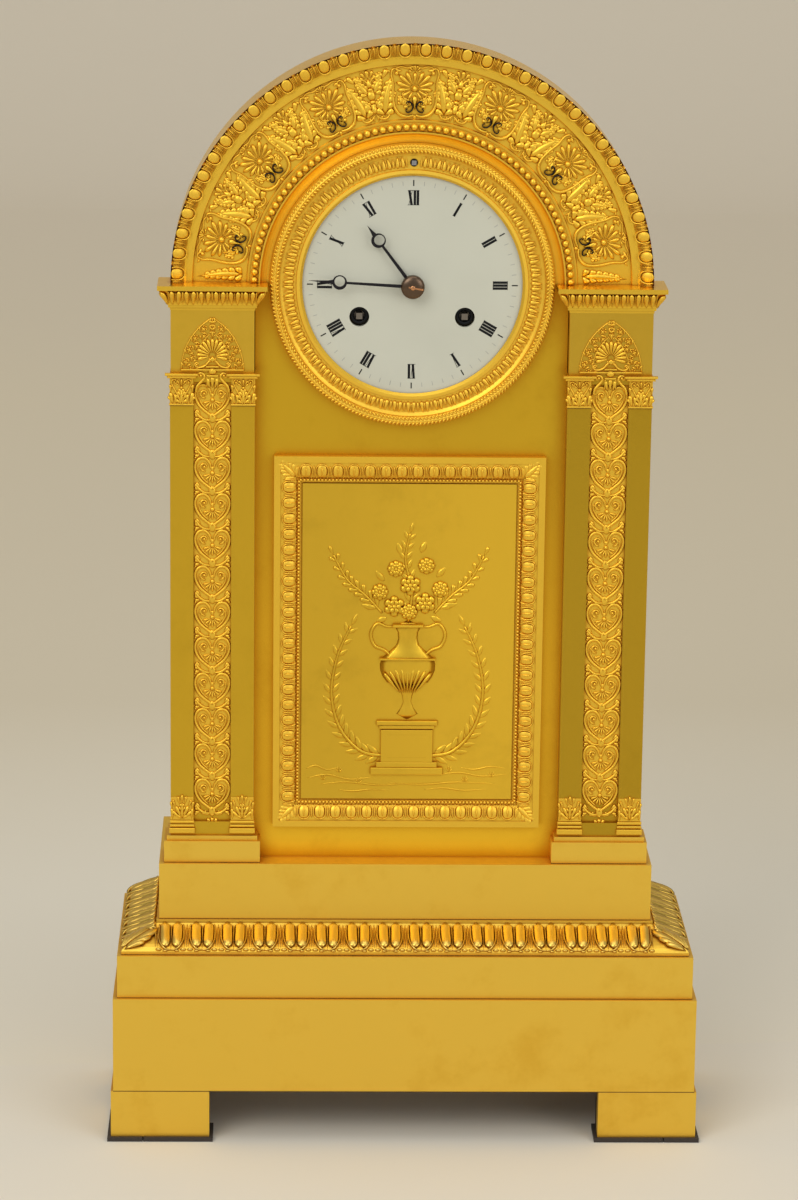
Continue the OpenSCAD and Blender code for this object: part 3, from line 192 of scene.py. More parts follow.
patinaAndShade = {  # noises have scale, detail and roughness; open is the span of openness over which the painted shade of hollows fades
    "cloud": (16, 5, 0.6), "spots": (55, 4, 0.65), "grain": (2600, 2, 0.6),
    "stained": (0.50, 0.68), "open": (0.35, 0.95), "bump": 0.00012,
}


def giltFinish(name, look):
    finish = Finish(name, Metallic=1.0)
    cloud, spots, grain = [finish.noise(*patinaAndShade[part]) for part in ("cloud", "spots", "grain")]
    stain = finish.span(cloud * 0.6 + spots * 0.4, *patinaAndShade["stained"]) * look["marks"]
    # painted shade: ambient occlusion finds the hollows, which are darkened towards the hollow colour
    openness = finish.node("ShaderNodeAmbientOcclusion", {"samples": 8}, out="AO", Distance=look["reach"])
    hollow = finish.span(openness, *patinaAndShade["open"], 1.0, 0.0)
    body = finish.mix(stain, look["colour"], look["stain"])
    # painted light and shade: brightness changes along one axis
    if "paintedShade" in look:
        axis, low, high, atLow, atHigh = look["paintedShade"]
        split = finish.node("ShaderNodeSeparateXYZ", Vector=finish.place, out=axis)
        level = finish.span(split, low, high, atLow, atHigh)
        body = finish.mix(1.0, body, finish.node("ShaderNodeCombineColor", Red=level, Green=level, Blue=level),
                          "MULTIPLY")
    body = finish.mix(hollow * look.get("deep", 0.75), body, look["hollow"])
    if "inside" in look:  # painted shade: nearly black inside the hollow base, over its bare casting
        hole = look["inside"]
        x, y, z = [finish.node("ShaderNodeSeparateXYZ", Vector=finish.place, out=k) for k in range(3)]
        within = ((x * x) ** 0.5 < hole["half"]) * (y > hole["front"]) * (y < hole["back"]) * (z < hole["top"])
        body = finish.mix(within, body, hole["colour"])
    finish.set("Base Color", body)
    finish.set("Roughness", look["rough"] + (cloud - 0.5) * 0.16 + stain * 0.1)
    finish.bump(grain + spots * 0.5, look["grain"], patinaAndShade["bump"])
    return finish.material


def plainMetal(name, colour, rough, brush=(1, 1, 1), grain=0.05):
    finish = Finish(name, Metallic=1.0)
    streak = finish.noise(900, 2, 0.6, brush)
    cloud = finish.noise(30, 4, 0.6)
    dull = tuple(c * 0.72 for c in colour)
    finish.set("Base Color", finish.mix(finish.span(cloud, 0.4, 0.75) * 0.6, colour, dull))
    finish.set("Roughness", rough + (streak - 0.5) * 0.12 + (cloud - 0.5) * 0.1)
    finish.bump(streak, grain, 0.0001)
    return finish.material


enamel = {"light": (0.545, 0.54, 0.44), "dark": (0.51, 0.505, 0.41), "rough": 0.16, "coat": 0.3}
leather = {"dark": (0.012, 0.008, 0.006), "light": (0.055, 0.04, 0.03), "rough": 0.75}


def enamelFinish():
    finish = Finish("whiteEnamel", Roughness=enamel["rough"], Coat_Weight=enamel["coat"])
    tone = finish.noise(24, 3)
    finish.set("Base Color", finish.mix(finish.span(tone, 0.35, 0.8), enamel["light"], enamel["dark"]))
    finish.bump(finish.noise(60, 2), 0.05, 0.0003)
    return finish.material


def inkFinish(name, colour):
    finish = Finish(name, Roughness=0.5, Specular_IOR_Level=0.2)
    finish.set("Base Color", finish.mix(finish.noise(500, 2), colour, tuple(c * 0.6 for c in colour)))
    return finish.material


def leatherFinish():
    finish = Finish("darkLeather", Roughness=leather["rough"])
    fibre = finish.noise(900, 4, 0.7)
    finish.set("Base Color", finish.mix(fibre, leather["dark"], leather["light"]))
    finish.bump(fibre, 0.5, 0.0003)
    return finish.material


# painted shade: the box under the base inside which the casting is painted nearly black
shadedBaseInside = {"half": 0.1235, "front": -0.0375, "back": 0.0365, "top": 0.0655, "colour": (0.06, 0.032, 0.014)}
finishes = {"gilt_" + name: giltFinish(name + "Gilding", look) for name, look in gilt.items()}
finishes.update({
    "gilt_base": giltFinish("baseGildingShadedInside", {**gilt["matt"], "inside": shadedBaseInside}),
    # dark joints, and the painted shadow under the capitals
    "joint": inkFinish("jointAndShadowLine", (0.11, 0.052, 0.012)),
    "movement_brass": plainMetal("brushedBrass", (0.62, 0.46, 0.19), 0.30, (1, 1, 6)),
    "sheet_brass": plainMetal("lacqueredSheet", (0.50, 0.33, 0.10), 0.42, (6, 1, 1), 0.12),
    "polished_steel": plainMetal("polishedSteel", (0.42, 0.42, 0.44), 0.26),
    "blued_steel": plainMetal("darkSteel", (0.035, 0.033, 0.038), 0.30),
    "enamel": enamelFinish(),
    "pad_leather": leatherFinish(),
    # black ink for print, and also the painted shade of the arch hooks and the holes
    "ink": inkFinish("blackInkAndShade", (0.006, 0.006, 0.007)),
    "faint_ink": inkFinish("faintInk", (0.36, 0.36, 0.33)),
    "aged_bronze": plainMetal("agedBronze", (0.13, 0.085, 0.055), 0.3),
    "darkened_steel": plainMetal("darkenedSteel", (0.23, 0.20, 0.17), 0.34),
    "copper": plainMetal("copperPin", (0.62, 0.30, 0.14), 0.25),
})
ownLook = {  # nodes whose finish differs from their slot's
    "front_plate": "gilt_satin", "pilaster_left": "gilt_pilaster", "pilaster_right": "gilt_pilaster",
    "relief_panel": "gilt_relief", "frieze_block_left": "gilt_block", "frieze_block_right": "gilt_block",
    "base_moulding": "gilt_matt", "bezel": "gilt_soft", "lower_plinth": "gilt_base", "feet": "gilt_base",
    # the winding arbors take a darker steel than their slot's polished steel
    "going_arbor": "darkened_steel", "strike_arbor": "darkened_steel",
}
slotOf = {part["node"]: part["material_slot"] for part in frame["record"]["subparts"]}
for name, node in nodes.items():
    node.data.materials.clear()
    node.data.materials.append(finishes[ownLook.get(name, slotOf[name])])
print("finishes done")


# metres; the wall stands so far off that no camera is behind it
room = {"floor": (0.70, 0.64, 0.53), "edge": (0.0630, 0.0665), "slant": 0.093, "bend": 2.6, "cove": 1.0,
        "steps": 24, "wide": 30, "tall": 6, "depth": 3,
        # behind holds the cloth's colours along depth plus height, in steps of painted light and shade
        "behind": [(0.10, (0.706, 0.645, 0.523)), (0.225, (0.632, 0.549, 0.402)), (0.53, (0.735, 0.636, 0.461)),
                   (0.9, (0.815, 0.717, 0.561))]}


def stageSheet(name, line):  # a wide sheet, bent along (y, z) points
    mesh = bpy.data.meshes.new(name)
    spots = [(x, y, z) for y, z in line for x in (-room["wide"], room["wide"])]
    mesh.from_pydata(spots, [], [(2 * k, 2 * k + 1, 2 * k + 3, 2 * k + 2) for k in range(len(line) - 1)])
    piece = bpy.data.objects.new(name, mesh)
    bpy.context.scene.collection.objects.link(piece)
    only(piece)
    bpy.ops.object.shade_smooth()
    finish = Finish(name, Roughness=0.9)
    across, deep, high = [finish.node("ShaderNodeSeparateXYZ", Vector=finish.place, out=k) for k in range(3)]
    near, far = room["edge"]
    # painted light and shade: the cloth turns darker and lighter with depth and height
    behind = finish.node("ShaderNodeValToRGB", {"stops": room["behind"]}, out="Color",
                         Fac=(deep + high) / room["depth"])
    share = finish.span(deep - across * room["slant"], near, far)
    finish.set("Base Color", finish.mix(share, room["floor"], behind))
    mesh.materials.append(finish.material)


def makeRoom():  # the table, and a cloth behind it that turns up and rises
    start, reach = room["bend"], room["cove"]
    stageSheet("floor", [(-room["wide"], 0), (start, 0)])
    angles = [math.pi / 2 * k / room["steps"] for k in range(room["steps"] + 1)]
    bend = [(start + reach * math.sin(angle), reach * (1 - math.cos(angle))) for angle in angles]
    stageSheet("backdrop", bend + [(start + reach, room["tall"])])


lamps = {
    "key": {"place": (-1.3, -2.0, 1.9), "size": 1.6, "power": 31},
    "fill": {"place": (1.7, -1.9, 1.3), "size": 1.6, "power": 17},
    "top": {"place": (0.0, -0.2, 2.2), "size": 1.6, "power": 12},
}
lampAim = Vector((0, 0, 0.25))
sky = {"Color": (0.92, 0.96, 1.0, 1), "Strength": 0.54}


def makeLamps():
    for name, lamp in lamps.items():
        data = bpy.data.lights.new(name, "AREA")
        data.size = lamp["size"]
        data.energy = lamp["power"]
        piece = bpy.data.objects.new(name, data)
        piece.location = lamp["place"]
        piece.rotation_euler = (lampAim - piece.location).to_track_quat("-Z", "Y").to_euler()
        bpy.context.scene.collection.objects.link(piece)
    world = bpy.data.worlds.new("room")
    world.use_nodes = True
    for socket, value in sky.items():
        world.node_tree.nodes["Background"].inputs[socket].default_value = value
    bpy.context.scene.world = world
    bpy.context.scene.view_settings.view_transform = "Standard"


# tools for the relief work: a shape stands flat in x and z, in millimetres, and rises towards -y
masters = []  # shapes that the pieces are copied from, deleted at the end
toMetres = Matrix.Scale(mm, 4)


def clear():
    for piece in list(bpy.context.selected_objects):
        piece.select_set(False)
    bpy.context.view_layer.objects.active = None


def only(piece):
    clear()
    piece.select_set(True)
    bpy.context.view_layer.objects.active = piece


def choose(piece, test):
    bpy.ops.object.mode_set(mode="OBJECT")
    mesh = piece.data
    for part in (mesh.polygons, mesh.edges):
        part.foreach_set("select", [False] * len(part))
    mesh.vertices.foreach_set("select", [bool(test(v.co)) for v in mesh.vertices])
    bpy.ops.object.mode_set(mode="EDIT")


def settle(piece, name, smooth=True):
    bpy.ops.object.mode_set(mode="OBJECT")
    bpy.ops.object.transform_apply(location=True, rotation=True, scale=True)
    if smooth:
        bpy.ops.object.shade_smooth()
    piece.name = name
    masters.append(piece)
    return piece


def turn(angle):
    return Matrix.Rotation(math.radians(angle), 4, "Y")


def shift(x=0, z=0, y=0):
    return Matrix.Translation((x, y, z))


def size(x, y, z):
    return Matrix.Diagonal((x, y, z, 1))


def spin(angle):
    return Matrix.Rotation(math.radians(angle), 4, "Z")


def tip(angle):
    return Matrix.Rotation(math.radians(angle), 4, "X")


mirror = size(-1, 1, 1)


# a closed leaf that stands on its foot, one long, one wide and one high before it is sized
def leafShape(name, widths, crease=0.0, belly=1.0):
    rings = len(widths)
    clear()
    bpy.ops.mesh.primitive_uv_sphere_add(segments=8, ring_count=rings + 1, radius=0.5, location=(0, 0, 0))
    piece = bpy.context.object
    bpy.ops.object.mode_set(mode="EDIT")
    for k, width in enumerate(widths):
        angle = math.pi * (k + 1) / (rings + 1)
        level = -0.5 * math.cos(angle)
        grow = width / math.sin(angle)
        choose(piece, lambda co: abs(co.z - level) < 0.004)
        bpy.ops.transform.resize(value=(grow, 0.25 + 0.75 * grow * belly, 1), center_override=(0, 0, level))
        bpy.ops.transform.translate(value=(0, 0, (k + 1) / (rings + 1) - 0.5 - level))
    if crease:
        choose(piece, lambda co: abs(co.x) < 0.01 and co.y < -0.05 and abs(co.z) < 0.49)
        bpy.ops.transform.translate(value=(0, crease, 0))
    bpy.ops.mesh.select_all(action="SELECT")
    bpy.ops.transform.translate(value=(0, 0, 0.5))
    return settle(piece, name)


def bead(name, segments=10, rings=6):
    clear()
    bpy.ops.mesh.primitive_uv_sphere_add(segments=segments, ring_count=rings, radius=0.5, location=(0, 0, 0))
    return settle(bpy.context.object, name)


def curve(points, steps=4):  # an even line through a few points, each with its half width as third number
    ends = [points[0]] + list(points) + [points[-1]]
    line = []
    for a, b, c, d in zip(ends, ends[1:], ends[2:], ends[3:]):
        for k in range(steps):
            t = k / steps
            line.append([0.5 * (2 * q + (r - p) * t + (2 * p - 5 * q + 4 * r - s) * t * t
                                + (3 * q - p - 3 * r + s) * t ** 3) for p, q, r, s in zip(a, b, c, d)])
    return line + [list(points[-1])]


def coil(x, z, radius, start, swing, wide, end, thin, count=10):  # turns inwards; angles clockwise from the top
    line = []
    for k in range(count + 1):
        t = k / count
        r = radius * (1 - t * (1 - end))
        a = math.radians(start + swing * t)
        line.append((x + r * math.sin(a), z + r * math.cos(a), wide * (1 - t * (1 - thin))))
    return line


def circle(radius, count, wide):
    angles = [2 * math.pi * k / count for k in range(count + 1)]
    return [(radius * math.sin(angle), radius * math.cos(angle), wide) for angle in angles]


def stroke(name, line, high=1.0):  # a raised line of changing width
    data = bpy.data.curves.new(name, "CURVE")
    data.dimensions = "3D"
    data.bevel_depth = 1
    data.bevel_resolution = 1
    data.use_fill_caps = True
    spline = data.splines.new("POLY")
    spline.points.add(len(line) - 1)
    for point, (x, z, wide) in zip(spline.points, line):
        point.co = (x, 0, z, 1)
        point.radius = max(wide, 0.05)
    piece = bpy.data.objects.new(name, data)
    bpy.context.scene.collection.objects.link(piece)
    only(piece)
    bpy.ops.object.convert(target="MESH")
    bpy.ops.object.mode_set(mode="EDIT")
    bpy.ops.mesh.select_all(action="SELECT")
    bpy.ops.mesh.remove_doubles(threshold=0.0005)
    bpy.ops.transform.resize(value=(1, high, 1), center_override=(0, 0, 0))
    bpy.ops.mesh.normals_make_consistent(inside=False)
    return settle(bpy.context.object, name)


def plain(name, sizes, bevel=0.0):  # a small block with broken edges, its back on y = 0
    clear()
    bpy.ops.mesh.primitive_cube_add(size=1, location=(0, -0.5 * sizes[1], 0), scale=sizes)
    piece = bpy.context.object
    bpy.ops.object.transform_apply(location=True, rotation=True, scale=True)
    if bevel:
        bpy.ops.object.mode_set(mode="EDIT")
        choose(piece, lambda co: co.y < -1e-6)
        bpy.ops.mesh.bevel(offset=bevel, segments=2)
    return settle(piece, name, False)


def gather(name, items, scale=None):
    clear()
    first = None
    for master, matrix in items:
        copy = bpy.data.objects.new(name, master.data.copy())
        whole = scale @ matrix if scale else matrix
        copy.data.transform(whole)
        if whole.determinant() < 0:
            copy.data.flip_normals()
        bpy.context.scene.collection.objects.link(copy)
        copy.select_set(True)
        first = first or copy
    bpy.context.view_layer.objects.active = first
    bpy.ops.object.join()
    first.name = name
    return first


def motif(name, items):  # several shapes joined into one master
    piece = gather(name, items)
    masters.append(piece)
    return piece


def carve(name, items, slot, *stands, body="case", look=None):  # a finished piece, in metres
    piece = gather(name, items, toMetres)
    piece.data.materials.clear()
    piece.data.materials.append(finishes[look or slot])
    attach(piece, body)
    if stands:
        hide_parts(*stands)
    return piece


def reshape(piece, move):
    for vertex in piece.data.vertices:
        vertex.co = move(vertex.co)


# lays a flat master on a profile: its height runs up the line of (depth, height) points
def follow(piece, line):
    reach = [0.0]
    for a, b in zip(line, line[1:]):
        reach.append(reach[-1] + math.dist(a, b))

    def move(co):
        k = 0
        while k < len(line) - 2 and reach[k + 1] < co.z:
            k += 1
        a, b = line[k], line[k + 1]
        t = (co.z - reach[k]) / (reach[k + 1] - reach[k])
        depth, level = a[0] + (b[0] - a[0]) * t, a[1] + (b[1] - a[1]) * t
        run = Vector((b[0] - a[0], b[1] - a[1])).normalized()
        return Vector((co.x, depth + abs(run.y) * co.y, level + run.x * co.y * (1 if run.y < 0 else -1)))
    reshape(piece, move)


# leaves and beads that many pieces share
petalLeaf = leafShape("petalLeaf", (0.42, 0.66, 0.86, 1.0, 0.92))
blade = leafShape("blade", (0.72, 1.0, 0.92, 0.66, 0.36))
drop = leafShape("drop", (0.3, 0.5, 0.8, 1.0, 0.85))
cupLeaf = leafShape("cupLeaf", (0.7, 0.95, 1.0, 0.96, 0.8), crease=0.22)
pearl = bead("pearl")
smallPearl = bead("smallPearl", 8, 5)


def fan(lobes, shape, high):  # lobes: angle, length, width, distance from the middle
    return [(shape, turn(a) @ shift(z=start) @ size(wide, high, long)) for a, long, wide, start in lobes]


def at(shape, x, z, angle, wide, high, long):
    return (shape, shift(x, z) @ turn(angle) @ size(wide, high, long))


def ridge(name, points, high, steps=4):  # a raised line through a few points
    return (stroke(name, curve(points, steps), high), shift())


def pair(items):
    return items + [(shape, mirror @ matrix) for shape, matrix in items]


def put(items, matrix):
    return [(shape, matrix @ own) for shape, own in items]


def acanthus(name, tall, wide, pairs=5, lean=0.0, high=1.4, lobe=0.26):
    items = [(blade, size(wide * (lobe + 0.06), high, tall))]
    for k in range(pairs):
        t = (k + 0.25) / pairs
        for side in (-1, 1):
            reach = wide * (0.62 - 0.30 * t * t)
            leaning = shift(z=tall * 0.80 * t) @ turn(side * (62 - 40 * t))
            items.append((petalLeaf, leaning @ size(wide * lobe, high * (0.8 - 0.2 * t), reach)))
    leaf = motif(name, items)
    if lean:
        reshape(leaf, lambda co: Vector((co.x + lean * (co.z / tall) ** 2, co.y, co.z)))
    return leaf


# arch: palmettes and candelabra by turns, with tongues on the rim
archWork = {"palmettes": 7, "step": 25.7, "ground": -13.15, "end": 87.0, "tongues": 36, "rim": 97.9}


def archPalmette():
    filler = acanthus("filler", 6.2, 4.8, 3, 0.0, 1.6, 0.44)
    hooks = motif("archHook", pair([
        ridge("hook", [(-2.9, 78.0, 0.2), (-3.5, 78.9, 0.26), (-2.6, 79.5, 0.28), (-1.4, 78.7, 0.28),
                       (-0.8, 77.0, 0.28), (-1.5, 75.4, 0.28),
                               (-3.1, 74.7, 0.24), (-3.8, 75.7, 0.2), (-3.0, 76.3, 0.16)], 2.6)]))
    left = [
        ridge("arm", [(-0.4, 73.2, 0.5), (-3.4, 72.6, 0.7), (-6.6, 73.6, 0.72), (-8.6, 76.6, 0.66),
                      (-9.4, 81.5, 0.6), (-9.4, 86.5, 0.55), (-10.2, 90.6, 0.5),
                              (-9.2, 93.0, 0.45), (-7.4, 92.2, 0.4), (-7.8, 90.6, 0.5)], 1.9),
        ridge("brow", [(-8.4, 92.8, 0.3), (-6.0, 93.9, 0.42), (-3.0, 93.3, 0.45), (-0.6, 94.2, 0.4)], 1.6),
        ridge("inner", [(-2.0, 80.6, 0.2), (-3.3, 79.6, 0.4), (-4.6, 80.4, 0.45), (-5.2, 82.4, 0.4),
                        (-4.2, 83.2, 0.3)], 1.8),
        at(pearl, -7.9, 91.0, 0, 1.9, 2.4, 1.9), at(filler, -2.2, 76.4, -34, 0.8, 1, 0.85),
        at(filler, -5.6, 77.4, -12, 0.62, 1, 0.75), at(petalLeaf, -5.4, 92.0, -84, 1.5, 1.4, 3.0),
        at(blade, -6.0, 73.0, -38, 1.2, 0.9, 3.4), at(blade, -10.2, 91.4, -64, 1.0, 0.9, 2.4),
    ]
    left += put(fan([(-28, 6.9, 1.9, 1.3), (-50, 7.8, 2.0, 1.4), (-73, 7.2, 2.0, 1.4), (-97, 6.3, 1.9, 1.4),
                     (-122, 5.4, 1.7, 1.4), (-148, 4.2, 1.5, 1.4)], drop, 2.2), shift(0, 84.6))
    left += put(fan([(-24, 2.6, 0.8, 0.6), (-52, 2.4, 0.8, 0.7), (-80, 2.2, 1.0, 0.8)], petalLeaf, 1.4),
                shift(0, 91.6))
    items = pair(left)
    items += [at(drop, 0, 86, 0, 1.9, 2.2, 5.8), at(petalLeaf, 0, 91.8, 0, 1.3, 1.4, 3.0),
              at(pearl, 0, 84.4, 0, 2.8, 3.0, 2.8),
              at(petalLeaf, 0, 75.4, 0, 2.4, 2.0, 6.4), at(blade, 0, 73.4, 180, 1.8, 1.2, 2.4)]
    return motif("archPalmette", items), hooks, filler


def archCandelabrum(filler):
    leaf = acanthus("sideLeaf", 18.0, 7.4, 6, -2.6, 2.3, 0.40)
    small = acanthus("smallLeaf", 8.0, 5.4, 4, -1.2, 1.8, 0.40)
    left = [
        (leaf, shift(-3.9, 73.6) @ turn(-13)), at(filler, -7.2, 80.4, -52, 0.7, 1, 0.7),
        at(filler, -2.4, 89.6, -58, 0.75, 1, 0.8),
        (small, shift(-1.3, 83.6) @ turn(-24)), at(small, -1.0, 77.2, -32, 0.8, 0.9, 0.8),
        ridge("foot", [(-0.5, 74.6, 0.4), (-2.2, 72.9, 0.5), (-4.4, 72.6, 0.5), (-5.8, 73.9, 0.42),
                       (-5.0, 75.0, 0.35)], 1.8),
        ridge("horn", [(-0.4, 88.4, 0.4), (-1.8, 90.4, 0.45), (-3.8, 90.9, 0.42), (-4.7, 89.5, 0.36),
                       (-3.8, 88.6, 0.3)], 1.7),
        at(drop, -0.9, 71.8, 0, 0.95, 1.5, 2.8), at(drop, -2.6, 71.8, 0, 0.95, 1.5, 2.6),
        at(petalLeaf, -5.9, 89.6, -40, 2.4, 1.7, 4.8), at(petalLeaf, -7.3, 84.4, -62, 2.2, 1.5, 3.6),
        at(petalLeaf, -1.0, 91.0, -30, 1.6, 1.4, 3.4),
    ]
    items = pair(left)
    items += [at(blade, 0, 75, 0, 2.8, 2.4, 5.4), at(pearl, 0, 80.6, 0, 3.0, 2.6, 1.7),
              at(cupLeaf, 0, 81, 0, 3.6, 2.6, 4.6),
              at(pearl, 0, 86, 0, 2.8, 2.6, 1.6), at(blade, 0, 86.4, 0, 2.8, 2.2, 4.4),
              at(petalLeaf, 0, 90.6, 0, 2.0, 1.6, 4.0)]
    return motif("archCandelabrum", items), leaf


def makeArch():
    palmette, hooks, filler = archPalmette()
    candelabrum, leaf = archCandelabrum(filler)
    step = archWork["step"]
    half = archWork["palmettes"] // 2
    ground = shift(0, axisZ, archWork["ground"])
    items = [(palmette, ground @ turn(step * k)) for k in range(-half, half + 1)]
    items += [(candelabrum, ground @ turn(step * (k + 0.5))) for k in range(-half, half)]
    for side in (-1, 1):
        items.append((leaf, ground @ turn(side * archWork["end"]) @ shift(0, 73.0) @ size(-side * 0.8, 1, 1.1)))
    carve("archFoliage", items, "gilt_chased")
    # painted shade: the scroll hooks are black lines where the scrolls lie in shade
    items = [(hooks, ground @ turn(step * k) @ shift(0, -0.4, -0.7)) for k in range(-half, half + 1)]
    carve("archHooks", items, "gilt_chased", look="ink")
    cup = curve([(-2.6, 6.3, 0.3), (-2.75, 4.2, 0.34), (-2.5, 2.2, 0.36), (-1.4, 0.7, 0.36), (0, 0.3, 0.36)])
    egg = motif("rimEgg", pair([(stroke("cupRim", cup, 1.7), shift()), at(drop, -3.3, 0.2, 0, 0.55, 1.8, 6.2)])
                + [at(cupLeaf, 0, 0.7, 0, 5.0, 1.6, 6.3), at(drop, -4.36, 0.1, 0, 0.8, 1.8, 6.3),
                   at(drop, -3.85, 0.1, 0, 0.5, 1.4, 6.3),
                   at(drop, 3.85, 0.1, 0, 0.5, 1.4, 6.3)])
    eggs = []
    for k in range(archWork["tongues"]):
        angle = -90 + 180 * (k + 0.5) / archWork["tongues"]
        eggs.append((egg, ground @ turn(angle) @ shift(0, archWork["rim"], -1.9) @ tip(20) @ size(1, 1, 0.98)))
    carve("rimTongues", eggs, "gilt_chased", look="gilt_soft")


# bezel: two rows of rope, a ring of leaves and a black ring of painted shade for the regulator's hole
bezelWork = {"rope": 226, "ropeRows": (58.35, 60.45), "ropeY": -18.45, "twist": 40, "leaves": 56,
             "leafFoot": 55.9,
             "leafY": -16.2, "holeZ": 53.2, "holeY": -16.1, "holeR": 1.25}


def makeBezel():
    work = bezelWork
    strand = leafShape("strand", (0.8, 1.0, 0.8))
    items = []
    middle = shift(0, axisZ)
    for row, radius in enumerate(work["ropeRows"]):
        twist = work["twist"] if row else -work["twist"]
        for k in range(work["rope"]):
            spot = turn(360 * (k + 0.5 * row) / work["rope"]) @ shift(0, radius, work["ropeY"] + 0.1 * row)
            items.append((strand, middle @ spot @ turn(twist) @ shift(0, -1.3) @ size(1.1, 1.8, 2.6)))
    carve("bezelRope", items, "gilt_burnished", look="gilt_chased")
    # painted shade: a black ring stands for the dark inside of the regulator's hole
    ring = stroke("holeRing", circle(work["holeR"], 18, 0.5), 0.5)
    carve("regulatorHole", [(ring, middle @ shift(0, work["holeZ"], work["holeY"]))], "gilt_chased", look="ink")
    leaf = motif("bezelLeaf", pair([at(petalLeaf, -0.95, 0, -4, 1.9, 1.3, 5.0),
                                    at(drop, -2.8, 0.2, 0, 0.8, 1.1, 4.6)])
                 + [(drop, size(0.8, 1.3, 4.6))])
    items = []
    for k in range(1, work["leaves"]):  # none over the regulator
        spot = turn(360 * k / work["leaves"]) @ shift(0, work["leafFoot"], work["leafY"])
        items.append((leaf, middle @ spot @ size(1, 1, -1)))
    carve("bezelLeaves", items, "gilt_chased", look="gilt_soft")


# chains of hearts in the pilasters' channels
channel = {"top": 331.7, "low": 153.6, "count": 12, "ground": -19.2, "neckY": -20.3,
           "plate": (16.2, 0.25, 186.0)}


def heartMotif():
    left = [
        ridge("heartLine", [(-0.2, -7.0, 0.6), (-2.2, -5.4, 0.7), (-5.4, -2.6, 0.75), (-7.3, 0.9, 0.78),
                            (-7.5, 4.2, 0.78), (-5.7, 6.7, 0.74), (-3.0, 6.8, 0.7), (-1.2, 4.7, 0.62),
                            (-0.6, 2.4, 0.5)], 1.5),
        (stroke("eye", coil(-3.5, 3.1, 2.1, 170, 400, 0.55, 0.2, 0.8), 1.5), shift()),
        at(pearl, -3.5, 3.1, 0, 1.5, 2.2, 1.5),
        ridge("innerLine", [(-5.7, 3.4, 0.4), (-5.8, 1.0, 0.45), (-4.3, -2.0, 0.45), (-1.8, -4.4, 0.4)], 1.3),
        ridge("tuft", [(-0.9, -8.6, 0.5), (-3.4, -8.4, 0.6), (-5.8, -6.8, 0.7), (-7.4, -4.6, 0.6)], 1.5),
        at(petalLeaf, -5.3, -7.0, -75, 1.9, 1.8, 2.9), at(petalLeaf, -5.0, -6.4, -42, 1.8, 1.8, 3.4),
        at(petalLeaf, -5.2, -7.6, -112, 1.9, 1.8, 2.9), at(pearl, -7.4, -5.4, 0, 1.3, 2.0, 1.3),
        at(pearl, -7.4, -9.0, 0, 1.3, 2.0, 1.3),
        at(petalLeaf, -1.6, -9.4, -70, 1.6, 1.6, 3.6),
    ]
    left += put(fan([(-158, 3.9, 1.1, 0.5), (-133, 4.2, 1.2, 0.5), (-108, 3.9, 1.15, 0.6)], drop, 1.7),
                shift(0, 0.1))
    items = pair(left)
    items += [at(drop, 0, -0.2, 180, 1.2, 1.8, 4.4), at(pearl, 0, 0.3, 0, 2.0, 2.2, 2.0),
              at(cupLeaf, 0, -10.2, 0, 3.4, 2.4, 5.0), at(blade, 0, 3.6, 180, 1.6, 1.5, 3.2)]
    return motif("heart", items)


def makeChains():
    heart = heartMotif()
    count = channel["count"]
    pitch = (channel["top"] - channel["low"]) / (count - 1)
    ring = pair([ridge("neckSide", [(-7.2, 4.4, 0.7), (-6.6, 7.0, 0.72), (-4.4, 9.4, 0.72), (-3.4, 11.2, 0.7),
                                    (-4.6, 12.8, 0.62), (-6.2, 12.2, 0.5), (-5.9, 10.9, 0.45),
                                    (-5.0, 11.1, 0.4)], 1.5),
                 at(pearl, -5.0, 11.6, 0, 1.6, 2.0, 1.6), at(petalLeaf, -1.2, 6.0, -12, 1.8, 1.6, 5.0),
                 ridge("neckWall", [(-2.3, 6.4, 0.3), (-2.3, 9.0, 0.32), (-2.3, 11.4, 0.3)], 2.2, 2)])
    ring += [at(pearl, 0, 13.6, 0, 4.2, 2.6, 3.4), at(petalLeaf, 0, 6.2, 0, 2.0, 1.8, 5.4),
             (plain("neckBar", (5.0, 1.1, 0.8), 0.2), shift(0, 11.6)),
             (plain("neckCap", (5.4, 1.2, 0.7), 0.2), shift(0, 15.6))]
    neck = motif("chainNeck", ring)
    foot = motif("chainFoot", pair([
        ridge("footCurl", [(-0.3, -6.8, 0.45), (-0.8, -8.2, 0.5), (-2.2, -9.2, 0.5), (-3.3, -8.4, 0.45),
                           (-2.6, -7.5, 0.35)], 1.1),
        at(petalLeaf, 0, -14.4, -34, 1.7, 1.4, 4.2), at(petalLeaf, 0, -14.6, -66, 1.7, 1.4, 4.6),
        at(petalLeaf, 0, -15.0, -92, 1.5, 1.4, 5.2),
        ridge("shellEdge", [(-0.2, -15.4, 0.6), (-2.6, -14.8, 0.6), (-4.0, -15.6, 0.6), (-5.6, -14.6, 0.5)],
              1.4)])
        + [at(petalLeaf, 0, -14.4, 0, 1.8, 1.5, 4.0), at(pearl, 0, -9.4, 0, 1.2, 1.3, 1.2)])
    plate = plain("channelGround", channel["plate"])
    items = []
    for side in (-1, 1):
        x = side * pilasterX
        items += [(heart, shift(x, channel["top"] - pitch * k, channel["ground"])) for k in range(count)]
        items += [(neck, shift(x, channel["top"] - 0.4, channel["neckY"])), (plate, shift(x, 246.4, -19.05)),
                  (foot, shift(x, channel["low"], channel["ground"]))]
    carve("heartChains", items, "gilt_chased", "heart_chains")


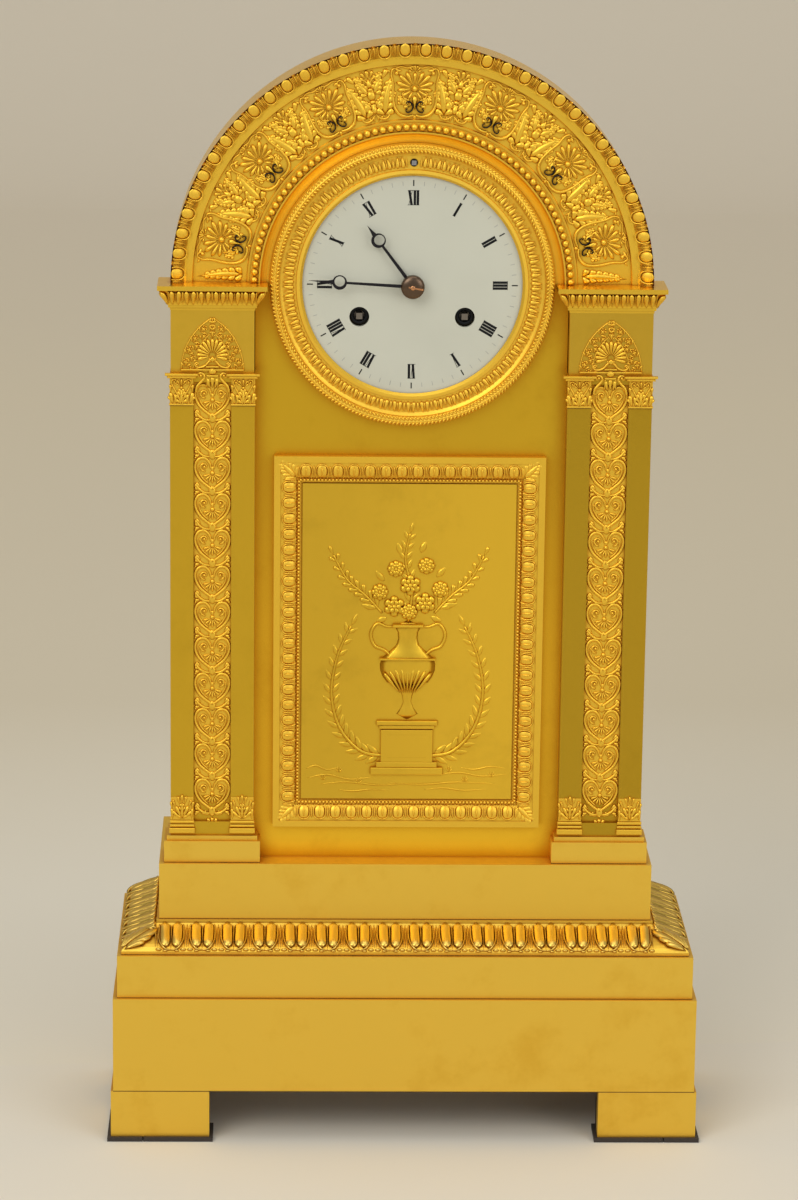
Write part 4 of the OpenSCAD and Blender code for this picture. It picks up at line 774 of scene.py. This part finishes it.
# dial: numerals and marks as thin ink on the domed enamel, and the hands' collet with its pin
dialWork = {"top": -14.45, "dome": 0.9, "radius": 50.2, "numeralFoot": 34.7, "numeralHigh": 6.4, "thick": 1.08,
            "thin": 0.2, "advance": {"I": 1.3, "V": 2.1, "X": 2.4}, "hours": (42.9, 45.5, 0.52),
            "minutes": (43.1, 45.0, 0.2), "holeX": 22.8, "holeZ": -14.0, "holeY": -12.0, "holeR": 3.35}
numerals = ("XII", "I", "II", "III", "IIII", "V", "VI", "VII", "VIII", "IX", "X", "XI")


def bar(shape, x, z, toX, toZ, wide):
    run = Vector((toX - x, toZ - z))
    spot = shift((x + toX) / 2, (z + toZ) / 2) @ turn(math.degrees(math.atan2(run.x, run.y)))
    return (shape, spot @ size(wide, 1, run.length))


def numeralItems(text, ink):
    work = dialWork
    high = work["numeralHigh"]
    thick, thin = work["thick"], work["thin"]
    edge = -sum(work["advance"][letter] for letter in text) / 2
    items = []
    for letter in text:
        wide = work["advance"][letter]
        middle = edge + wide / 2
        if letter == "I":
            items.append(bar(ink, middle, 0, middle, high, thick))
        elif letter == "V":
            items.append(bar(ink, middle - 0.42, high, middle + 0.05, 0, thick * 0.95))
            items.append(bar(ink, middle + 0.78, high, middle + 0.2, 0, thin))
        else:
            items.append(bar(ink, middle - 0.55, high, middle + 0.5, 0, thick))
            items.append(bar(ink, middle + 0.75, high, middle - 0.75, 0, thin))
        for end in (0.07, high - 0.07):
            items.append(bar(ink, middle - wide * 0.5, end, middle + wide * 0.5, end, thin))
        edge += wide
    return items


def ontoDial(piece):
    work = dialWork
    for vertex in piece.data.vertices:
        x, z = vertex.co.x / mm, vertex.co.z / mm - axisZ
        vertex.co.y += (work["top"] - work["dome"] * (1 - (x * x + z * z) / work["radius"] ** 2)) * mm


def mark(ink, angle, near, far, wide):
    return (ink, turn(angle) @ shift(0, (near + far) / 2) @ size(wide, 1, far - near))


def makeDial():
    work = dialWork
    ink = plain("inkStroke", (1, 0.06, 1))
    middle = shift(0, axisZ, 0.02)
    items = []
    for k, text in enumerate(numerals):
        items += put(numeralItems(text, ink), turn(30 * k) @ shift(0, work["numeralFoot"]))
        items.append(mark(ink, 30 * k, *work["hours"]))
    ontoDial(carve("dialNumerals", put(items, middle), "enamel", look="ink"))
    items = [mark(ink, 6 * k, *work["minutes"]) for k in range(60) if k % 5]
    ontoDial(carve("dialMinutes", put(items, middle), "enamel", look="faint_ink"))
    # painted shade: a black ring behind each winding hole stands for the dark inside of the hole
    paintedShade = stroke("holePaintedShade", circle(work["holeR"], 24, 1.15), 0.25)
    items = [(paintedShade, middle @ shift(side * work["holeX"], work["holeZ"], work["holeY"])) for side in (-1, 1)]
    carve("holePaintedShades", items, "polished_steel", look="ink")
    dome = bead("colletDome", 40, 20)
    reshape(dome, lambda co: Vector((co.x, math.copysign(abs(2 * co.y) ** 0.5, co.y) / 2, co.z)))
    collet = [(dome, middle @ shift(0, 0, -20.0) @ size(10.3, 5.8, 10.3))]
    carve("handCollet", collet, "blued_steel", body="hands", look="aged_bronze")
    rod = plain("colletPin", (1, 1, 1), 0.2)
    pin = [(rod, middle @ shift(1.3, -0.2, -22.65) @ turn(100) @ size(0.75, 0.6, 6.4)),
           (dome, middle @ shift(0, 0, -22.9) @ size(2.0, 0.9, 2.0))]
    carve("colletPin", pin, "blued_steel", body="hands", look="copper")


# capitals on the four strips beside the channels
capitalWork = {"stripX": 13.35, "foot": 329.9, "top": 341.6, "front": -20.6, "stretch": 1.09,
               "lineX": 13.3, "lineZ": 329.75, "lineY": -20.68}


def strips(reach):  # x of the four strips
    return [side * pilasterX + inner * reach for side in (-1, 1) for inner in (-1, 1)]


def makeCapitals():
    work = capitalWork
    stem = stroke("capitalStem", curve([(-0.3, 0.4, 0.42), (-1.3, 3.4, 0.42), (-3.0, 6.2, 0.4),
                                        (-4.1, 8.2, 0.38), (-3.9, 9.9, 0.36), (-2.7, 10.2, 0.34),
                                        (-2.2, 9.0, 0.32), (-3.0, 8.4, 0.3)]), 1.5)
    middleLeaf = acanthus("capitalLeaf", 6.6, 5.6, 4, 0.0, 1.5)
    half = [(stem, shift()), at(pearl, -3.1, 9.1, 0, 1.1, 1.7, 1.1),
            at(petalLeaf, -3.6, 0.2, -16, 1.9, 1.4, 5.2),
            at(petalLeaf, -2.2, 0.2, -8, 1.5, 1.5, 4.4), at(petalLeaf, -4.6, 5.0, -6, 1.1, 1.2, 3.4),
            at(drop, -0.2, 7.4, -34, 0.9, 1.4, 3.4), at(drop, -0.2, 7.4, -62, 0.8, 1.3, 2.6),
            at(petalLeaf, -4.3, 1.4, -38, 1.2, 1.3, 2.6), at(pearl, -4.4, 7.3, 0, 0.9, 1.3, 0.9)]
    items = pair(half) + [(middleLeaf, shift(0, 0.2)), at(drop, 0, 7.2, 0, 1.1, 1.6, 3.6),
                          at(pearl, 0, 6.9, 0, 1.3, 1.7, 1.3)]
    items = put(items, shift(0, 0.3, -0.75))
    items += [(plain("capitalBack", (10.2, 0.75, 11.0), 0.1), shift(0, 5.5, 0.1)),
              (plain("capitalEdge", (10.7, 1.3, 0.8), 0.25), shift(0, 0.4, 0.1))]
    basket = motif("capitalBasket", items)
    # painted shadow: a thin dark line under each capital
    line = plain("capitalLine", (10.3, 0.12, 0.45))
    lines = [(line, shift(x, work["lineZ"], work["lineY"])) for x in strips(work["lineX"])]
    carve("capitalShadows", lines, "gilt_chased", look="joint")
    abacus = motif("abacus", [(plain("abacusTop", (14.2, 2.4, 1.0), 0.2), shift(0, 2.0)),
                              (plain("abacusLow", (12.4, 1.9, 1.2), 0.5), shift(0, 0.9))])
    items = []
    for x in strips(work["stripX"]):
        items.append((basket, shift(x, work["foot"], work["front"]) @ size(1, 1, work["stretch"])))
        items.append((abacus, shift(x, work["top"], work["front"])))
    carve("capitalWork", items, "gilt_chased", "capitals")


# pointed arches over the capitals
lunetteWork = {"foot": 345.2, "high": 23.4, "half": 13.7, "ground": -20.4}


def lunetteArc(inset, count, lift=0.0):  # x, z and direction up the left side of the border
    work = lunetteWork
    behind = (work["high"] ** 2 - work["half"] ** 2) / (2 * work["half"])
    radius = work["half"] + behind - inset
    last = math.degrees(math.acos(behind / radius))
    angles = [last * (k + lift) / count for k in range(count)]
    return [(behind - radius * math.cos(math.radians(a)), radius * math.sin(math.radians(a)),
             a) for a in angles]


def makeLunettes():
    work = lunetteWork
    rosette = motif("rosette", fan([(72 * k, 1.05, 0.75, 0.1) for k in range(5)], petalLeaf,
                                   0.9) + [(pearl, size(0.7, 1.4, 0.7))])
    tuft = motif("borderTuft", fan([(-48, 2.2, 0.75, 0.2), (0, 2.6, 0.8, 0.2), (48, 2.2, 0.75, 0.2)], petalLeaf,
                                   1.2))
    half = [(stroke("edgeOut", [(x, z, 0.34) for x, z, a in lunetteArc(0.3, 14)] + [(0, work["high"] - 0.5,
                                                                                     0.34)], 1.6), shift()),
            (stroke("edgeIn", [(x, z, 0.3) for x, z, a in lunetteArc(5.5, 12)] + [(0, work["high"] - 9.4, 0.3)],
                    1.6), shift())]
    for k, (x, z, angle) in enumerate(lunetteArc(2.0, 9, 0.5)):
        shape, lean = (rosette, 0) if k % 2 else (tuft, 4)
        half.append((shape, shift(x, z) @ turn(angle + lean) @ size(1.3, 1.3, 1.15)))
    for k, (x, z, angle) in enumerate(lunetteArc(4.1, 8, 0.5)):
        half.append((tuft if k % 2 else rosette, shift(x, z - 0.6) @ turn(angle) @ size(1.15, 1.3, 1.05)))
    half += put(fan([(-17, 7.0, 1.9, 1.0), (-34, 7.0, 1.9, 1.0), (-51, 6.8, 1.9, 1.0), (-68, 6.6, 1.85, 1.0),
                     (-86, 6.4, 1.8, 1.0), (-104, 6.2, 1.8, 1.0)], drop, 1.9), shift(0, 6.5))
    half += [ridge("volute", [(-0.2, 4.6, 0.4), (-1.6, 3.9, 0.5), (-3.0, 2.2, 0.55), (-5.0, 1.3, 0.55),
                              (-6.8, 1.5, 0.5), (-7.6, 2.6, 0.45), (-6.8, 3.4, 0.4), (-6.0, 2.7, 0.36)], 1.4),
             at(petalLeaf, -0.4, 3.4, -30, 1.0, 1.2, 2.4), at(pearl, -6.8, 2.5, 0, 1.1, 1.6, 1.1),
             at(petalLeaf, -4.8, 0.9, -96, 0.8, 1.0, 2.6)]
    items = pair(half) + [at(drop, 0, 7.4, 0, 1.9, 1.9, 7.2), (plain("diamond", (1.7, 1.2, 1.7), 0.3),
                                                               shift(0, 5.0) @ turn(45)),
                          (petalLeaf, shift(0, work["high"] - 9.2) @ size(1.3, 1.2, 3.2)),
                          (rosette, shift(0, work["high"] - 4.2)), (tuft, shift(0, work["high"] - 3.2)),
                          (plain("lunetteFoot", (27.0, 1.0, 0.7), 0.2), shift(0, 0.35))]
    whole = motif("lunette", items)
    items = [(whole, shift(side * pilasterX, work["foot"], work["ground"])) for side in (-1, 1)]
    carve("lunetteWork", items, "gilt_chased", "lunettes")


# tongues under the cornices
corniceWork = {"front": 5.2, "frontY": -20.7, "half": 18.35, "low": 373.9, "high": 6.8, "pitch": 6.35,
               "sidePitch": 5.6, "leaves": 6, "sideLeaves": 3}


def corniceLine(out):
    return [(-(0.2 + 0.66 * (1 - math.cos(math.radians(6 * i)))) * out,
             corniceWork["low"] + corniceWork["high"] * i / 15) for i in range(16)]


def makeCornices():
    work = corniceWork
    shape = motif("corniceLeafFlat", pair([at(petalLeaf, -1.2, 0, -3, 2.6, 1.9, 7.9)]) + [at(drop, 0, 0.8, 0,
                                                                                             0.5, 1.5, 6.6)]
                  + pair([at(drop, -3.0, 0.2, 0, 0.7, 1.0, 7.6)]))
    leaf = motif("corniceLeaf", [(shape, shift(0, 0, -0.45))])
    follow(leaf, corniceLine(work["front"]))
    corner = motif("cornerTongue", [(petalLeaf, shift(0, 0, -0.4) @ size(3.4, 2.2, 8.2)),
                                    (drop, shift(0, 0.5, -0.9) @ size(0.6, 1.6, 7.0))])
    follow(corner, [(depth * 1.36, level) for depth, level in corniceLine(work["front"])])
    items = []
    for side in (-1, 1):
        middle = side * pilasterX
        for k in range(work["leaves"]):
            items.append((leaf, shift(middle + (k - (work["leaves"] - 1) / 2) * work["pitch"], 0,
                                      work["frontY"])))
        for edge in (-1, 1):
            x = middle + edge * work["half"]
            for k in range(work["sideLeaves"]):
                spot = shift(x, 0, work["frontY"] + 3.6 + work["sidePitch"] * k)
                items.append((leaf, spot @ spin(90 * edge)))
            items.append((corner, shift(x - edge * 0.2, 0, work["frontY"] + 0.2) @ spin(45 * edge)))
    carve("corniceLeaves", items, "gilt_chased")


# feet of the pilaster strips
footWork = {"stripX": 13.3, "leaf": (142.3, -20.6), "fillets": (141.5, 139.7), "ledge": 137.6, "front": -20.5,
            "sill": (138.2, -19.2)}


def makeBases():
    work = footWork
    left = fan([(-24, 6.6, 1.7, 0.6), (-48, 5.6, 1.6, 0.6)], petalLeaf, 1.5)
    left += [at(petalLeaf, -4.2, 0.3, -4, 1.4, 1.3, 5.2), at(petalLeaf, -4.3, 4.6, -10, 1.2, 1.2, 4.0),
             at(petalLeaf, -2.6, 5.4, -24, 1.2, 1.2, 4.2), at(petalLeaf, -1.0, 7.0, -14, 1.1, 1.2, 4.0),
             at(pearl, -3.9, 8.6, 0, 1.0, 1.4, 1.0)]
    items = put(pair(left) + [(acanthus("baseLeaf", 8.4, 4.6, 4, 0.0, 1.6), shift(0, 0.2)),
                              at(petalLeaf, 0, 7.6, 0, 1.3, 1.4, 4.0)], shift(0, 0.2, -0.5))
    items.append((plain("baseBack", (10.1, 0.5, 10.6), 0.1), shift(0, 5.3, 0.1)))
    tuft = motif("stripFoot", items)
    fillet = plain("footFillet", (10.9, 1.0, 1.3), 0.4)
    bed = plain("footLedge", (11.4, 1.6, 2.4), 0.3)
    sill = plain("channelFoot", (16.2, 1.4, 1.6), 0.3)
    items = []
    for x in strips(work["stripX"]):
        items += [(tuft, shift(x, *work["leaf"])), (bed, shift(x, work["ledge"], work["front"]))]
        items += [(fillet, shift(x, z, work["front"])) for z in work["fillets"]]
    items += [(sill, shift(side * pilasterX, *work["sill"])) for side in (-1, 1)]
    carve("pilasterFeet", items, "gilt_chased", "pilaster_bases")


# panel frame: leaves on its moulding, beads inside and a leaf on each mitre
panelWork = {"x": 59.25, "low": 138.1, "high": 306.7, "ground": -13.05, "pitch": 7.05, "corner": 10.4,
             "beads": 1.56,
             "beadIn": 10.9, "leafIn": 10.0, "cornerIn": 9.6}


def evenly(run, pitch):  # places along a side, and how far the pitch is stretched to fit
    count = round(2 * run / pitch)
    return [-run + 2 * run * (k + 0.5) / count for k in range(count)], run * 2 / count / pitch


def makeFrame():
    work = panelWork
    halfHigh = (work["high"] - work["low"]) / 2
    middle = shift(0, (work["high"] + work["low"]) / 2, work["ground"])
    leaf = motif("frameLeaf", [(cupLeaf, size(5.0, 1.3, 7.2)),
                               (drop, shift(0, 0.4, -0.3) @ size(0.9, 1.5, 5.4))]
                 + pair([ridge("frameRim", [(-2.2, 0.3, 0.26), (-2.75, 2.6, 0.3), (-2.6, 5.2, 0.32),
                                            (-1.5, 6.6, 0.3), (0, 7.0, 0.28)], 1.9),
                         at(drop, -3.52, 0.2, 0, 0.8, 1.5, 6.4)]))
    angles = [math.radians(9 * i) for i in range(11)]
    band = [(-1.6 - 1.9 * math.sin(a), 7.2 * (1 - math.cos(a))) for a in angles]
    follow(leaf, band)
    corner = acanthus("frameCorner", 10.4, 8.6, 5, 0.0, 2.0)
    items = []
    for angle, reach, run in ((0, halfHigh, work["x"]), (90, work["x"], halfHigh),
                              (180, halfHigh, work["x"]), (-90, work["x"], halfHigh)):
        edge = middle @ turn(angle)
        spots, stretch = evenly(run - work["corner"], work["pitch"])
        items += [(leaf, edge @ shift(x, reach - work["leafIn"]) @ size(stretch, 1, 1)) for x in spots]
        spots, stretch = evenly(run - work["beadIn"], work["beads"])
        items += [(smallPearl, edge @ shift(x, reach - work["beadIn"], -1.75) @ size(1.35, 1.5,
                                                                                     1.35)) for x in spots]
    for sideX in (-1, 1):
        for sideZ in (-1, 1):
            spot = shift(sideX * (work["x"] - work["cornerIn"]), sideZ * (halfHigh - work["cornerIn"]), -2.6)
            items.append((corner, middle @ spot @ turn(sideX * (90 - 45 * sideZ)) @ tip(5)))
    carve("frameLeaves", items, "gilt_chased", look="gilt_soft")


# leaf moulding of the base
mouldWork = {"lipX": 125.7, "lipY": -41.2, "foot": 86.1, "lip": 1.6, "high": 11.4, "in": 15.1, "pitch": 13.85,
             "leaves": 16, "sideLeaves": 6, "sidePitch": 12.1, "sideStart": 17.0,
             "steps": 30}


def mouldLine(stretch=1.0):  # from the lip up to the top edge
    work = mouldWork
    low, rise = work["foot"] + work["lip"], work["high"] - work["lip"] - 1.6
    shares = [i / work["steps"] for i in range(work["steps"] + 1)]
    return [(stretch * work["in"] * (t - math.sin(2 * math.pi * t) / 9), low + rise * t) for t in shares]


def makeMoulding():
    work = mouldWork
    lobe = leafShape("mouldLobe", (0.84, 0.97, 1.0, 1.0, 1.0, 1.0, 0.97))
    half = [(lobe, shift(-2.6, 1.2, -0.6) @ turn(-1) @ size(5.0, 2.4, 17.0)),
            at(drop, -6.1, 1.2, 2, 0.8, 2.6, 15.6),
            ridge("mouldVein", [(-5.3, 16.6, 0.34), (-5.5, 9.0, 0.38), (-5.0, 4.6, 0.4), (-3.6, 1.9, 0.4),
                                (-1.6, 0.8, 0.36), (0, 0.8, 0.3)], 4.0),
            at(smallPearl, -5.4, 0.9, 0, 2.8, 2.4, 1.4), at(smallPearl, -2.6, 0.4, 0, 2.4, 2.0, 1.1)]
    leaf = motif("mouldLeaf", pair(half) + [(drop, shift(0, 1.2, -0.3) @ size(0.7, 2.6, 15.4)),
                                            at(drop, -6.92, 0.8, 0, 0.9, 3.0, 16.4)])
    follow(leaf, mouldLine())
    corner = motif("mouldCorner", pair([at(petalLeaf, -0.8, 1.2, -5, 5.0, 3.0, 20.5),
                                        at(petalLeaf, -1.0, 1.4, -13, 4.0, 2.6, 15),
                                        at(petalLeaf, -1.2, 1.6, -24, 3.0, 2.2,
                                           10)]) + [(drop, shift(0, 1.5, -0.5) @ size(1.1, 2.6, 18.5))])
    follow(corner, mouldLine(1.414))
    items = []
    for k in range(work["leaves"]):
        items.append((leaf, shift((k - (work["leaves"] - 1) / 2) * work["pitch"], 0, work["lipY"])))
    for side in (-1, 1):
        x = side * work["lipX"]
        items.append((corner, shift(x, 0, work["lipY"]) @ spin(45 * side)))
        for k in range(work["sideLeaves"]):
            spot = shift(x, 0, work["lipY"] + work["sideStart"] + work["sidePitch"] * k)
            items.append((leaf, spot @ spin(90 * side) @ size(work["sidePitch"] / work["pitch"], 1, 1)))
    carve("mouldingLeaves", items, "gilt_chased", look="gilt_moulded")


# dark lines of dirt in the joints under these pieces
jointWork = {"proud": 0.05, "sunk": 0.3, "high": 0.34, "pieces": ("lower_plinth", "upper_plinth",
                                                                  "base_moulding", "die_block", "pedestal_left",
                                                                  "pedestal_right")}


def makeJoints():
    proud, sunk, high = jointWork["proud"], jointWork["sunk"], jointWork["high"]
    items = []
    for name in jointWork["pieces"]:
        spots = [vertex.co / mm for vertex in nodes[name].data.vertices]
        low = [min(spot[k] for spot in spots) for k in range(3)]
        top = [max(spot[k] for spot in spots) for k in range(3)]
        wide, deep, middle = top[0] - low[0], top[1] - low[1], (top[0] + low[0]) / 2
        level = low[2] + high * 0.2
        front = plain("jointFront", (wide + 2 * proud, proud + sunk, high))
        side = plain("jointSide", (proud + sunk, deep, high))
        items.append((front, shift(middle, level, low[1] + sunk)))
        for way in (-1, 1):
            items.append((side, shift(middle + way * (wide - sunk + proud) / 2, level, top[1])))
    carve("jointLines", items, "gilt_matt", look="joint")


# relief panel: an urn with flowers between laurel branches
reliefWork = {"ground": -14.45, "urnFoot": 187.0, "urnHigh": 46.0, "urnWide": 25.0, "urnDeep": 4.6}


def spray(name, points, leaf, long, wide):  # a branch with leaves on both sides
    line = curve(points, 6)
    items = [(stroke(name, line, 1.1), shift())]
    for k in range(2, len(line) - 1, 2):
        (x, z, w), (toX, toZ, v) = line[k], line[k + 1]
        heading = math.degrees(math.atan2(toX - x, toZ - z))
        share = 1 - 0.35 * k / len(line)
        for side in (-1, 1):
            items.append(at(leaf, x, z, heading + side * 36, wide * share, 1.3, long * share))
    x, z, w = line[-1]
    items.append(at(leaf, x, z, heading, wide * 0.7, 1.2, long * 0.8))
    return items


def flower(name, petals, wide):  # two rings of petals and an eye
    ring = fan([(360 * k / petals, wide * 0.5, wide * 0.36, 0.1) for k in range(petals)], petalLeaf, 2.0)
    ring += put(fan([(360 * (k + 0.5) / petals, wide * 0.34, wide * 0.26, 0) for k in range(petals)], petalLeaf,
                    1.8), shift(0, 0, -0.5))
    return motif(name, ring + [(pearl, shift(0, 0, -0.7) @ size(wide * 0.22, 1.6, wide * 0.22))])


def makeRelief():
    work = reliefWork
    urn = leafShape("urnBody", (0.40, 0.24, 0.15, 0.20, 0.48, 0.74, 0.90, 0.99, 1.0, 0.92, 0.66, 0.42, 0.36,
                                0.38, 0.5), belly=0.9)
    laurel = leafShape("laurelLeaf", (0.55, 0.95, 1.0, 0.75, 0.4), crease=0.12)
    foot, tall, wide = work["urnFoot"], work["urnHigh"], work["urnWide"]
    items = [(urn, shift(0, foot) @ size(wide, work["urnDeep"], tall))]
    items += [(plain("plinthTop", (27, 1.5, 2.2), 0.5), shift(0, 185.8)),
              (plain("plinthNeck", (24.5, 1.0, 1.6), 0.3), shift(0, 183.8)),
              (plain("plinthBody", (23, 1.3, 15), 0.3), shift(0, 175.2)),
              (plain("plinthStep", (27, 1.5, 2.6), 0.4), shift(0, 166.6)),
              (plain("plinthLow", (32, 1.8, 3.4), 0.4), shift(0, 163.7)),
              (plain("urnLip", (13.4, 2.6, 1.3), 0.5), shift(0, foot + tall - 2.6)),
              (plain("urnBand", (wide * 0.98, 2.7, 0.8), 0.2), shift(0, foot + tall * 0.615))]
    for k in range(-4, 5):
        items.append((drop, shift(k * 0.75, foot + tall * 0.27, -1.2) @ turn(k * 9.5) @ size(1.9, 2.4,
                                                                                             tall * 0.28)))
    handle = [(-7.0, 0.63, 0.6), (-10.5, 0.70, 0.75), (-14.6, 0.74, 0.8), (-16.4, 0.86, 0.75),
              (-13.6, 0.96, 0.7),
              (-9.4, 0.93, 0.62), (-6.2, 0.93, 0.5)]
    left = [ridge("urnHandle", [(x, foot + tall * share, w) for x, share, w in handle], 1.4),
            ridge("plinthPanel", [(-8.6, 170.0, 0.3), (-8.6, 175.2, 0.3), (-8.6, 180.4, 0.3)], 4.5, 2),
            ridge("plinthRail", [(-8.6, 180.4, 0.3), (-4.3, 180.4, 0.3), (0, 180.4, 0.3)], 4.5, 2),
            ridge("plinthSill", [(-8.6, 170.0, 0.3), (-4.3, 170.0, 0.3), (0, 170.0, 0.3)], 4.5, 2)]
    left += spray("longBranch", [(-9.0, 170.5, 0.9), (-20.0, 172.5, 0.85), (-29.5, 183.0, 0.8),
                                 (-33.5, 199.0, 0.7), (-31.0, 216.0, 0.6),
                                 (-25.0, 230.0, 0.5)], laurel, 8.4, 3.0)
    left += spray("swag", [(-11.5, 236.0, 0.6), (-19.0, 244.0, 0.6), (-27.0, 251.0, 0.55), (-33.0, 262.0, 0.5)],
                  petalLeaf, 6.0, 2.6)
    items += pair(left)
    items += spray("middleBranch", [(0, 232, 0.7), (1.5, 246, 0.7), (-1.5, 260, 0.6), (0.5, 272, 0.5)], laurel,
                   7.0, 2.7)
    rose = flower("rose", 6, 9.6)
    daisy = flower("daisy", 8, 7.6)
    for shape, x, z in ((rose, -6.2, 239.0), (rose, 7.4, 240.5), (daisy, 0.4, 236.5), (daisy, -12.6, 245.5),
                        (daisy, 14.0, 246.8), (rose, 0.8, 248.6), (daisy, -5.6, 256.0), (daisy, 7.8, 257.4)):
        items.append((shape, shift(x, z, -0.4)))
    for x, z, angle, long in ((-13.5, 238, -78, 8), (14.4, 239, 80, 8), (-10.4, 250, -40, 7),
                              (12.0, 252, 42, 7),
                              (-3, 262, -20, 6.5), (5, 263, 24, 6.5), (-9, 234, -112, 6), (9.6, 234.4, 112, 6)):
        items.append(at(laurel, x, z, angle, 3.0, 1.4, long))
    for x, toX, z, rise in ((-44, -14, 160.0, 1.6), (-38, 2, 157.2, 1.0), (-8, 40, 158.0, -0.8),
                            (14, 45, 161.6, 1.2),
                            (-30, -8, 154.6, -0.6), (8, 36, 154.8, 0.8), (-44.5, -30, 164.4, 1.4),
                            (24, 44.5, 165.2, -1.0)):
        soil = [(x, z, 0.15), (x + (toX - x) * 0.3, z + rise, 0.45),
                (x + (toX - x) * 0.65, z - rise * 0.4, 0.4),
                (toX, z + rise * 0.5, 0.12)]
        items.append(ridge("soil", soil, 1.0))
    for x, z in ((-37, 159), (-21, 157.5), (26, 158.5), (38, 160.5), (-30, 162.5), (19, 163)):
        items += put(fan([(-40, 2.6, 0.8, 0.1), (-12, 3.6, 0.8, 0.1), (18, 3.3, 0.8, 0.1), (44, 2.4, 0.8, 0.1)],
                         blade, 0.9), shift(x, z))
    carve("reliefDesign", put(items, shift(0, 0, work["ground"])), "gilt_chased", look="gilt_relief")


stages = {
    "stage": (makeCamera, makeRoom, makeLamps), "arch": (makeArch,), "bezel": (makeBezel,),
    "chains": (makeChains,),
    "dial": (makeDial,), "pilasters": (makeCapitals, makeLunettes, makeCornices, makeBases),
    "panel and base": (makeFrame, makeMoulding, makeJoints, makeRelief),
}
for stage, makers in stages.items():
    for make in makers:
        make()
    print(stage + " done")

for master in masters:
    bpy.data.objects.remove(master)
